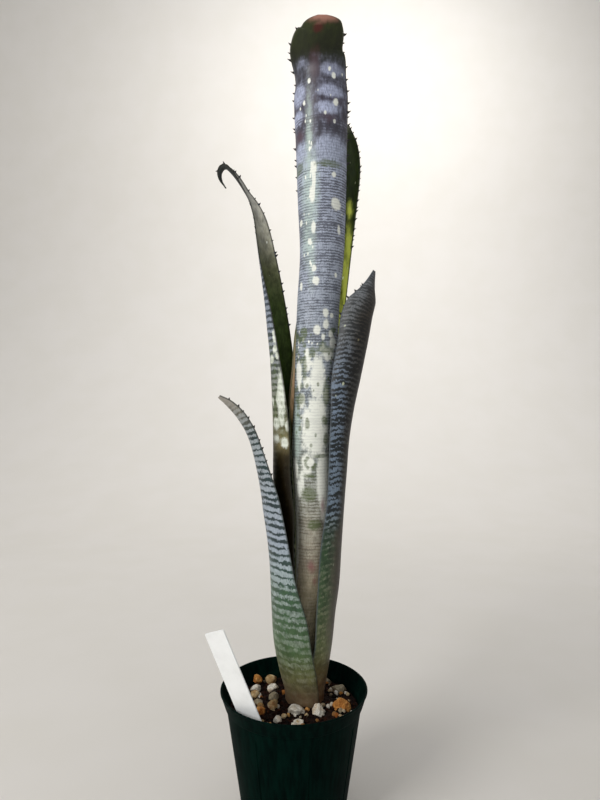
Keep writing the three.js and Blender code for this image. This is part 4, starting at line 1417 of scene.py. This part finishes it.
def rounded(profile: Array, reach: float) -> Array:
    """Swaps each inner corner of a profile for the curve (1-t)² a + 2t (1-t) p + t² c.

    Args:
        profile: Corners, one a row.
        reach: Distance of a and c from the corner p, less where a side is short.

    Returns:
        The smoother profile.
    """
    corner, before, after = profile[1:-1], profile[:-2] - profile[1:-1], profile[2:] - profile[1:-1]
    a, c = (
        corner + side * np.minimum(reach / np.linalg.norm(side, axis=1, keepdims=True), 0.45)
        for side in (before, after)
    )
    t = np.linspace(0, 1, 5)[None, :, None]
    curves = (1 - t) ** 2 * a[:, None] + 2 * t * (1 - t) * corner[:, None] + t**2 * c[:, None]
    return np.vstack([profile[:1], curves.reshape(-1, 2), profile[-1:]])


def densified(profile: Array, step: float) -> Array:
    """Adds points to a profile, so that no two are further apart than a step.

    Args:
        profile: Its points, one a row.
        step: The step.

    Returns:
        The finer profile.
    """
    length = path_length(profile)
    places = np.unique(np.concatenate([length, np.arange(0, length[-1], step)]))
    return np.stack([np.interp(places, length, profile[:, k]) for k in range(2)], -1)


def carve(piece: Thing, cutter: Thing) -> None:
    """Cuts one object by another and keeps the result as its mesh.

    Args:
        piece: The object.
        cutter: What cuts it, removed afterwards.
    """
    modifier = piece.modifiers.new("slits", "BOOLEAN")
    modifier.object = cutter
    modifier.solver = "EXACT"
    cut = bpy.data.meshes.new_from_object(piece.evaluated_get(bpy.context.evaluated_depsgraph_get()))
    piece.modifiers.clear()
    piece.data = cut
    bpy.data.objects.remove(cutter)


@dataclass
class Pot:
    """A tapered nursery pot with a stepped collar, upright grooves and slits in its foot."""

    height: float = 92.0
    rim: float = 52.3
    foot: float = 35.9
    body_top: float = 47.9
    collar: float = 11.0
    step: float = 1.0
    lip: float = 0.8
    bevel: float = 1.6
    wall: float = 1.2
    floor: float = 1.6
    slits: int = 8
    slit_bearing: float = -31.0
    slit_width: float = 2.4
    slit_top: float = 20.0
    slit_inward: float = 3.5
    groove_width: float = 1.6
    groove_depth: float = 0.5
    groove_bottom: float = 24.0
    groove_top: float = 75.0
    softness: float = 0.35
    row_step: float = 1.5
    columns: int = 192
    finish: PotFinish = PotFinish()

    def build(self) -> None:
        """Makes the pot with its grooves and cuts its slits."""
        collar_foot = self.height - self.collar
        ledge = self.body_top + self.step
        outside = [
            (0, 0), (self.foot - self.bevel, 0), (self.foot, self.bevel), (self.body_top, collar_foot),
            (ledge, collar_foot + 0.6), (self.rim - 0.4, self.height - self.lip - 0.4),
            (self.rim, self.height - self.lip), (self.rim, self.height),
        ]
        inside = [
            (self.rim - self.wall, self.height), (ledge - self.wall, collar_foot + 1.4),
            (self.body_top - self.wall, collar_foot - 0.4), (self.foot - self.wall, 2.2),
            (self.foot - 2.0, self.floor), (0, self.floor),
        ]
        profile = densified(rounded(np.array(outside + inside), self.softness), self.row_step)
        angles = self.angles()
        radius = profile[:, :1] - self.grooves(profile, angles, collar_foot)
        shell = tube(turned(radius, profile[:, 1:], angles))
        piece = make_piece("pot_shell", shell, self.finish.build(), ["pot"], merge=True)
        carve(piece, self.slit_cutter())
        piece.data.set_sharp_from_angle(angle=math.radians(40))

    def bearings(self) -> Array:
        """Bearings of the slits and grooves, in radians."""
        return np.radians(self.slit_bearing + 360 / self.slits * np.arange(self.slits))

    def angles(self) -> Array:
        """Bearings of the shell's columns.

        Returns:
            Even bearings, with more of them round each groove.
        """
        half = np.array([0.4, 0.8, 1.1, 1.5, 1.9, 2.6]) / self.foot * 0.8
        spread = np.concatenate([-half[::-1], half])
        near = (self.bearings()[:, None] + spread[None, :] * self.groove_width / 2).ravel()
        even = even_angles(self.columns)
        return np.sort(np.concatenate([even[bearing_gap(even, near) > 0.012], near % (2 * np.pi)]))

    def grooves(self, profile: Array, angles: Array, collar_foot: float) -> Array:
        """Depth of the grooves: a flat-bottomed bell across each, within its height, on the outside.

        Args:
            profile: Points of the shell's profile.
            angles: Bearings of its columns.
            collar_foot: Height of the collar's foot.

        Returns:
            One depth for each point and column.
        """
        off = bearing_gap(angles, self.bearings()) * self.body_top
        across = 1 - smoothstep(off, self.groove_width * 0.35, self.groove_width * 0.6)
        height = profile[:, 1]
        inside = np.arange(len(profile)) > np.argmax(height)
        within = smoothstep(height, self.groove_bottom - 1, self.groove_bottom + 1)
        within = within * (1 - smoothstep(height, self.groove_top - 1, self.groove_top + 1))
        return self.groove_depth * (within * ~inside * (height < collar_foot))[:, None] * across[None, :]

    def slit_cutter(self) -> Thing:
        """A ring of upright boxes through the foot of the wall.

        Returns:
            One object, which carve removes.
        """
        form = bmesh.new()
        for bearing in self.bearings():
            box = bmesh.ops.create_cube(form, size=1.0)["verts"]
            reach, below = 14.0, 4.0
            size = np.array([self.slit_width, reach, self.slit_top + below]) * MM
            bmesh.ops.scale(form, vec=size, verts=box)
            middle = np.array([0, -(self.foot - self.slit_inward + reach / 2), (self.slit_top - below) / 2])
            bmesh.ops.translate(form, vec=middle * MM, verts=box)
            turn = Matrix.Rotation(bearing, 4, "Z")
            bmesh.ops.transform(form, matrix=turn, verts=box)
        mesh = bpy.data.meshes.new("slit_cutter")
        form.to_mesh(mesh)
        form.free()
        return add_object("slit_cutter", mesh)


@dataclass(frozen=True)
class GrainyFinish:
    """A rough mineral or soil finish whose colour runs along stops by each grain's own tone."""

    name: str
    tones: str
    pits: str
    stain: str = "8f5a2c"
    stained: float = 0.4
    stain_scale: float = 0.16
    scale: float = 0.9
    depth: float = 0.5
    roughness: float = 0.82
    gloss: float = 0.12

    def build(self) -> Material:
        """Makes the material on Object coordinates and the grains' tone value.

        Returns:
            The material.
        """
        material, graph, shader = new_material(self.name)
        place = graph.place()
        grain = graph.group(GRAIN, {"Vector": place, "Scale": self.scale, "Fineness": 5.0})
        shift = graph.times(grain["Coarse"], 0.5, graph.less(graph.value("tone"), 0.25))
        stain = graph.step(graph.noise(place, self.stain_scale), 0.5, 0.62)
        colour = graph.mix(graph.times(stain, self.stained), graph.ramp(shift, self.tones), self.stain)
        pitted = graph.step(grain["Fine"], 0.36, 0.52, 0.75, 0.0)
        bright = graph.step(grain["Coarse"], 0.3, 0.75, 0.8, 1.2)
        relief = graph.times(grain["Fine"], 0.8, grain["Coarse"])
        graph.feed(shader, {
            "Base Color": graph.dimmed(graph.mix(pitted, colour, self.pits), bright),
            "Roughness": graph.times(pitted, 0.08, self.roughness),
            "Normal": graph.bump(relief, self.depth, 0.9), "Specular IOR Level": self.gloss,
        })
        return material


STONE_FINISHES = {
    "stone_pale": GrainyFinish(
        "pale_pumice", "0 b8ab98, 0.5 e0dacc, 1 f4f1e8", "8a7860", stain="c09a68", stained=0.5, depth=0.7,
    ),
    "stone_grey": GrainyFinish("grey_stone", "0 6a6150, 0.5 968a72, 1 bdb198", "4a4234"),
    "stone_orange": GrainyFinish(
        "orange_stone", "0 8a5224, 0.5 bd8242, 1 dcb070", "5f3216", stain="7a3c14", stained=0.6,
    ),
    "stone_tan": GrainyFinish("tan_stone", "0 80633c, 0.5 ad9268, 1 d2bf98", "5c432a", stained=0.6),
}
SOIL = GrainyFinish(
    "potting_mix", "0 080302, 0.5 1a0a05, 1 42200f", "050201", stain="2e1208", scale=0.5, depth=0.8,
)
ROOT_BARK = GrainyFinish("root_bark", "0 3b2a1a, 0.5 6b5236, 1 8d7350", "2c1f14", scale=0.6, depth=0.3)


@dataclass
class PottingMix:
    """The mix: a low rough mound inside the pot, with loose crumbs and pebbles on it."""

    level: float = 78.5
    mound: float = 3.6
    roughness: float = 0.7
    mound_radius: float = 42.0
    top_radius: float = 45.6
    floor_radius: float = 33.3
    floor: float = 1.9
    wall: tuple[tuple[float, float], ...] = ((45.0, 74), (36.0, 4))
    rings: int = 60
    columns: int = 180
    spread: float = 43.6
    plant_clear: float = 15.6
    dent: float = 0.16
    crumbs: int = 900
    crumb_size: tuple[float, float] = (0.5, 1.5)
    pebbles: int = 130
    pebble_size: tuple[float, float] = (1.3, 2.7)

    def height(self, x: Array, y: Array) -> Array:
        """The mound round the plant plus a grain of crossed waves, and the finest grain as ripples.

        Args:
            x: Places to the right.
            y: Places away from the viewer.

        Returns:
            The height of the mix at each.
        """
        away = np.hypot(x - PLANT_X, y - PLANT_Y) / self.mound_radius
        grain = np.sin(0.9 * x + 1.3) * np.cos(1.1 * y) + 0.6 * np.sin(0.47 * x - 0.71 * y)
        points = np.stack([x, y, 0 * x], -1)
        fine = 0.3 * ripple(points, 3.4, 61) + 0.12 * ripple(points, 1.5, 62)
        rise = self.mound * np.maximum(0, 1 - away) + self.roughness * 0.6 * grain + fine
        return self.level - 0.8 + rise

    def build(self, materials: dict[str, Material]) -> None:
        """Makes the plug, the crumbs and the pebbles.

        Args:
            materials: Stone materials by slot, for the pebbles.
        """
        soil = SOIL.build()
        top = self.top_radius * np.linspace(0, 1, self.rings)
        wall = np.array([*self.wall, (self.floor_radius, self.floor), (0, self.floor)])
        radius, level = np.concatenate([np.stack([top, top], -1), wall]).T[:, :, None]
        points = turned(radius, level, even_angles(self.columns))
        on_top = points[:len(top)]
        on_top[..., 2] = self.height(on_top[..., 0], on_top[..., 1])
        surface = tube(points)
        surface.values["tone"] = np.clip(0.45 + 0.3 * ripple(surface.points, 5.0, 63), 0, 1)
        make_piece("mix_plug", surface, soil, ["potting_mix"], merge=True)
        crumbs = self.grains(self.crumbs, self.crumb_size, 64, 1)
        make_piece("mix_crumbs", crumbs, soil)
        for index, (slot, material) in enumerate(materials.items()):
            count = self.pebbles // len(materials)
            pebbles = self.grains(count, self.pebble_size, 70 + index, 2)
            make_piece(slot.replace("stone", "gravel"), pebbles, material)

    def grains(self, count: int, size: tuple[float, float], seed: int, detail: int) -> Surface:
        """Loose grains, half sunk in the mix: stretched, turned and dented copies of an icosphere.

        Args:
            count: How many are drawn, less those that fall on the plant.
            size: Smallest and largest radius.
            seed: Seed of the draw.
            detail: Subdivisions of the icosphere.

        Returns:
            One surface with a tone for each grain.
        """
        rng = np.random.default_rng(seed)
        ball, faces = icosphere(detail)
        bearing, share = rng.uniform(0, 2 * np.pi, count), np.sqrt(rng.uniform(0.02, 1, count))
        radius = size[0] + (size[1] - size[0]) * rng.uniform(0, 1, count) ** 1.6
        x, y = share * self.spread * np.sin(bearing), -share * self.spread * np.cos(bearing)
        inside = np.hypot(x, y) + radius < self.top_radius - 0.4
        clear = inside & (np.hypot(x - PLANT_X, y - PLANT_Y) > self.plant_clear + 0.7 * radius)
        stretch = radius[:, None] * rng.uniform(0.65, 1.05, (count, 3))
        turns = np.linalg.qr(rng.normal(size=(count, 3, 3)))[0]
        turns *= np.sign(np.linalg.det(turns))[:, None, None]
        forms = (ball[None] * stretch[:, None, :]) @ turns
        dents = ripple(forms.reshape(-1, 3) + np.repeat(x * 7.0, len(ball))[:, None], 2.2, seed + 5)
        forms *= 1 + self.dent * dents.reshape(count, -1, 1)
        z = self.height(x, y) + 0.25 * radius
        points = forms + np.stack([x, y, z], -1)[:, None, :]
        tone = np.repeat(rng.uniform(0, 1, count), len(ball))
        keep = np.flatnonzero(clear)
        blocks = (faces[None] + (np.arange(len(keep)) * len(ball))[:, None, None]).reshape(-1, 3)
        tones = tone.reshape(count, -1)[keep].ravel()
        return Surface(points[keep].reshape(-1, 3), [blocks], {"tone": tones})


def icosphere(detail: int) -> tuple[Array, Array]:
    """A ball of radius one, made of triangles.

    Args:
        detail: Number of subdivisions.

    Returns:
        Its points and its triangles.
    """
    form = bmesh.new()
    bmesh.ops.create_icosphere(form, subdivisions=detail, radius=1.0)
    points = np.array([vertex.co for vertex in form.verts])
    faces = np.array([[vertex.index for vertex in face.verts] for face in form.faces])
    form.free()
    return points, faces


@dataclass
class TopStones:
    """The larger stones, each a finer form of its CAD node."""

    sharpness: float = 40.0
    chips: int = 11
    chip_depth: float = 0.3
    hollow: float = 0.3
    roughness: tuple[float, float] = (0.12, 0.07)
    ripple_length: tuple[float, float] = (2.4, 1.0)
    proud: float = 0.12
    most_proud: float = 0.3
    rows: int = 44
    columns: int = 72
    hollows: dict[str, tuple[tuple[float, float, float, float], ...]] = field(default_factory=lambda: {
        "stone_white_front": ((-0.5, -0.8, -0.35, 0.7),),
        "stone_white_wedge": ((-0.8, -0.2, 0.55, 0.34), (0.95, -0.2, 0.3, 0.16)),
        "stone_white_left": ((-0.4, -0.3, 0.85, 0.35), (0.5, -0.5, -0.6, 0.4)),
        "stone_orange_right": ((-0.5, -0.5, 0.7, 0.25), (0.4, -0.7, 0.6, 0.25)),
        "stone_pale_front": ((0.0, -0.4, 0.9, 0.45),),
    })

    def build(self, materials: dict[str, Material]) -> None:
        """Makes every stone that the record lists, in its slot's finish.

        Args:
            materials: Stone materials by slot.
        """
        slots = {entry["node"]: entry["material_slot"] for entry in frame["record"]["subparts"]}
        for index, node in enumerate(sorted(name for name in slots if name.startswith("stone_"))):
            surface = self.stone(node, index)
            make_piece(node + "_rough", surface, materials[slots[node]], [node], merge=True)

    def stone(self, node: str, seed: int) -> Surface:
        """A rounded, rough form of a CAD stone.

        The radius in a direction n is (sum over the facets of (max(n.f, 0) / d)^p)^(-1/p), where f
        is a facet's normal and d its distance from the middle. The facets are the hull's own and
        seeded chips that lie a little below them. A hollow along h takes off the share
        depth smoothstep(n.h). Ripples roughen the result.

        Args:
            node: The CAD stone.
            seed: Seed of its roughness.

        Returns:
            The stone as a ball of rows and columns.
        """
        middle, normals, distances = self.facets(frame["nodes"][node])
        polar = np.linspace(0, np.pi, self.rows)[:, None]
        directions = turned(np.sin(polar), -np.cos(polar), even_angles(self.columns)).reshape(-1, 3)
        rng = np.random.default_rng(seed + 120)
        chips = unit(rng.normal(size=(self.chips, 3)))
        depth = 1 - self.chip_depth * rng.uniform(0.3, 1.0, self.chips)
        chip_distances = self.reach(chips, normals, distances) * depth
        radius = self.reach(directions, np.vstack([normals, chips]), np.append(distances, chip_distances))
        drawn = (*unit(rng.normal(size=3)), self.hollow)
        for x, y, z, hollow in self.hollows.get(node, (drawn,)):
            radius *= 1 - hollow * smoothstep(directions @ unit(np.array([x, y, z])), 0.45, 0.95)
        places = directions * radius[:, None]
        rough = sum(
            height * ripple(places, length, draw)
            for height, length, draw in zip(self.roughness, self.ripple_length, (seed, seed + 50))
        )
        points = places + directions * np.minimum(rough + self.proud, self.most_proud)[:, None] + middle
        tone = np.clip(0.5 + 0.35 * ripple(places, 6.0, seed + 90), 0, 1)
        return Surface(points, [grid_faces(self.rows, self.columns, True)], {"tone": tone})

    def reach(self, directions: Array, normals: Array, distances: Array) -> Array:
        """Distance from the middle to the softened facets in each direction."""
        facing = np.maximum(directions @ normals.T, 0) / distances
        return (facing**self.sharpness).sum(axis=1) ** (-1 / self.sharpness)

    @staticmethod
    def facets(node: Thing) -> tuple[Array, Array, Array]:
        """Facets of a node's convex hull.

        Args:
            node: The CAD stone.

        Returns:
            The hull's middle, and the normal and distance of each facet, in millimetres.
        """
        form = bmesh.new()
        form.from_mesh(node.data)
        bmesh.ops.remove_doubles(form, verts=form.verts, dist=1e-6)
        hull = bmesh.ops.convex_hull(form, input=form.verts)
        bmesh.ops.delete(form, geom=[v for v in hull["geom_interior"] if isinstance(v, bmesh.types.BMVert)])
        faces = [face for face in hull["geom"] if isinstance(face, bmesh.types.BMFace) and face.is_valid]
        corners = np.array([[vertex.co for vertex in face.verts[:3]] for face in faces]) / MM
        middle = corners.reshape(-1, 3).mean(axis=0)
        normals = unit(np.cross(corners[:, 1] - corners[:, 0], corners[:, 2] - corners[:, 0]))
        distances = ((corners[:, 0] - middle) * normals).sum(axis=1)
        normals = normals * np.sign(distances)[:, None]
        form.free()
        return middle, normals, np.maximum(np.abs(distances), 0.5)


@dataclass(frozen=True)
class LabelFinish:
    """White plastic with faint mottling, and a little soil near the mix."""

    white: str = "f4f5f4"
    grey: str = "e6e7e5"
    soil: str = "8a7a66"
    soil_level: float = 84.0
    relief_depth: float = 0.04

    def build(self) -> Material:
        """Makes the material on Object coordinates.

        Returns:
            The material.
        """
        material, graph, shader = new_material("label_plastic")
        place = graph.place()
        grain = graph.group(GRAIN, {"Vector": place, "Scale": 0.08, "Fineness": 14.0})
        colour = graph.mix(graph.step(grain["Coarse"], 0.3, 0.9), self.white, self.grey)
        height = graph.add("SeparateXYZ", {0: place}).outputs[2]
        low = graph.step(height, self.soil_level + 6.0, self.soil_level - 4.0)
        splash = graph.times(low, graph.step(grain["Fine"], 0.45, 0.6))
        graph.feed(shader, {
            "Base Color": graph.mix(splash, colour, self.soil),
            "Roughness": graph.times(grain["Fine"], 0.25, 0.3),
            "Normal": graph.bump(grain["Fine"], self.relief_depth, 0.5),
        })
        return material


@dataclass
class PlantLabel:
    """A flat strip with a pointed foot, leaning to the left against the rim."""

    width: float = 16.0
    length: float = 92.0
    thickness: float = 0.8
    tip: float = 14.0
    corner: float = 1.0
    edge_bulge: float = 0.05
    lean: float = 22.5
    roll: float = 26.0
    at_rim: tuple[float, float, float] = (-31.0, -33.4, 92.0)
    below_rim: float = 36.0
    finish: LabelFinish = LabelFinish()

    def build(self) -> None:
        """Makes the strip: half width grows over the tip and rounds off at the head's corners."""
        head = self.length - self.below_rim
        tip_top = self.tip - self.below_rim
        along = np.unique(np.concatenate([
            np.linspace(-self.below_rim, tip_top, 16),
            np.linspace(tip_top, head - self.corner, 40),
            head - self.corner + self.corner * np.sin(np.linspace(0, np.pi / 2, 8)),
        ]))
        half = self.width / 2 * np.clip((along + self.below_rim) / self.tip, 0.02, 1)
        over = np.clip(along - head + self.corner, 0, self.corner)
        half = half - self.corner + np.sqrt(self.corner**2 - over**2)
        share = np.linspace(-1, 1, 15)
        lean, roll = math.radians(self.lean), math.radians(self.roll)
        up = np.array([-math.sin(lean), 0, math.cos(lean)])
        level = math.cos(roll)
        across = np.array([level * math.cos(lean), -math.sin(roll), level * math.sin(lean)])
        middle = np.array(self.at_rim) + along[:, None, None] * up
        middle = middle + (half[:, None] * share)[..., None] * across
        side = self.thickness / 2 * np.cross(up, across)
        bulge = self.edge_bulge * self.thickness * across
        right, left = middle[:, -1:] + bulge, middle[:, :1] - bulge
        points = np.concatenate([middle - side, right, middle[:, ::-1] + side, left], axis=1)
        piece = make_piece("label_strip", strip(points), self.finish.build(), ["plant_label"])
        piece.data.set_sharp_from_angle(angle=math.radians(35))


@dataclass(frozen=True)
class Lamp:
    """A square area light: its place and the point that it faces in metres, side, watts and colour."""

    name: str
    place: tuple[float, float, float]
    target: tuple[float, float, float]
    size: float
    power: float
    colour: Colour

    def build(self) -> None:
        """Adds the light, out of the camera's sight."""
        data = bpy.data.lights.new(self.name, "AREA")
        data.size, data.energy, data.color = self.size, self.power, self.colour
        lamp = add_object(self.name, data)
        lamp.visible_camera = False
        lamp.location = self.place
        aim = Vector(self.target) - Vector(self.place)
        lamp.rotation_euler = aim.to_track_quat("-Z", "Y").to_euler()


@dataclass
class Stage:
    """A plain pale floor that sweeps up behind, soft studio light and the camera at the photo's angle."""

    camera_at: tuple[float, float, float] = (4.3, -430.0, 296.6)
    lens: float = 27.05
    half_size: float = 7.0
    wall: float = 3.0
    sweep: float = 1.1
    sweep_start: float = 0.8
    lamps: tuple[Lamp, ...] = (
        Lamp("key", (-1.0, -0.9, 0.95), (0, 0, 0.3), 0.7, 15.0, (1.0, 0.99, 0.97)),
        Lamp("fill", (1.2, -0.9, 0.5), (0, 0, 0.25), 1.2, 1.0, (0.92, 0.96, 1.0)),
        Lamp("back", (0.3, 0.9, 1.6), (0, 1.9, 0.9), 1.0, 16.0, (1.0, 1.0, 1.0)),
    )
    sky: Colour = (0.93, 0.94, 0.96)
    sky_strength: float = 0.5

    def build(self) -> None:
        """Adds the camera, the floor, the lights and the world."""
        self.camera()
        self.floor()
        for lamp in self.lamps:
            lamp.build()
        world = bpy.data.worlds.new("studio")
        bpy.context.scene.world = world
        world.use_nodes = True
        backdrop = world.node_tree.nodes["Background"]
        backdrop.inputs["Color"].default_value = (*self.sky, 1.0)
        backdrop.inputs["Strength"].default_value = self.sky_strength
        bpy.context.scene.view_settings.view_transform = "Standard"

    def camera(self) -> None:
        """Camera that looks level along +Y."""
        data = bpy.data.cameras.new("camera")
        data.lens = self.lens
        data.sensor_width = 36.0
        data.clip_start = 0.01
        camera = add_object("camera", data)
        camera.location = [value * MM for value in self.camera_at]
        camera.rotation_euler = (math.pi / 2, 0, 0)
        bpy.context.scene.camera = camera

    def floor(self) -> None:
        """Pale matt floor with a very faint tone: flat, then a quarter circle up to an upright wall."""
        material, graph, shader = new_material("pale_floor")
        tone = graph.step(graph.noise(graph.place(), 0.01, detail=2.0), 0.3, 0.7)
        graph.feed(shader, {"Base Color": graph.mix(tone, "d6d2cb", "d8d4ce"), "Roughness": 0.85})
        mesh = bpy.data.meshes.new("floor")
        turn = np.linspace(0, np.pi / 2, 24)
        curve = np.stack([np.sin(turn), 1 - np.cos(turn)], -1) * self.sweep + [self.sweep_start, 0]
        profile = np.vstack([[-self.half_size, 0], curve, [self.sweep_start + self.sweep, self.wall]])
        sides = np.array([self.half_size, -self.half_size])
        points = np.stack([np.tile(sides, len(profile)), *np.repeat(profile, 2, axis=0).T], -1)
        mesh.from_pydata(points.tolist(), [], grid_faces(len(profile), 2, False)[:, ::-1].tolist())
        mesh.polygons.foreach_set("use_smooth", np.ones(len(mesh.polygons), bool))
        mesh.materials.append(material)
        floor = add_object("floor", mesh)


def corners(box: tuple) -> list[list[float]]:
    """A box's two corners as plain lists."""
    return [[float(value) for value in corner] for corner in box]


def main() -> None:
    """Builds every piece, then the stage."""
    logging.basicConfig(level=logging.INFO, format="%(message)s")
    Pot().build()
    stones = {slot: finish.build() for slot, finish in STONE_FINISHES.items()}
    PottingMix().build(stones)
    TopStones().build(stones)
    stem = frame["nodes"]["stem_and_roots"]
    stem.data.materials.clear()
    stem.data.materials.append(ROOT_BARK.build())
    PlantLabel().build()
    for leaf in (leaf_front_tall(), leaf_back(), leaf_hooked_left(), leaf_right(), leaf_low_left()):
        leaf.build()
    Stage().build()


if __name__ == "__main__":
    main()
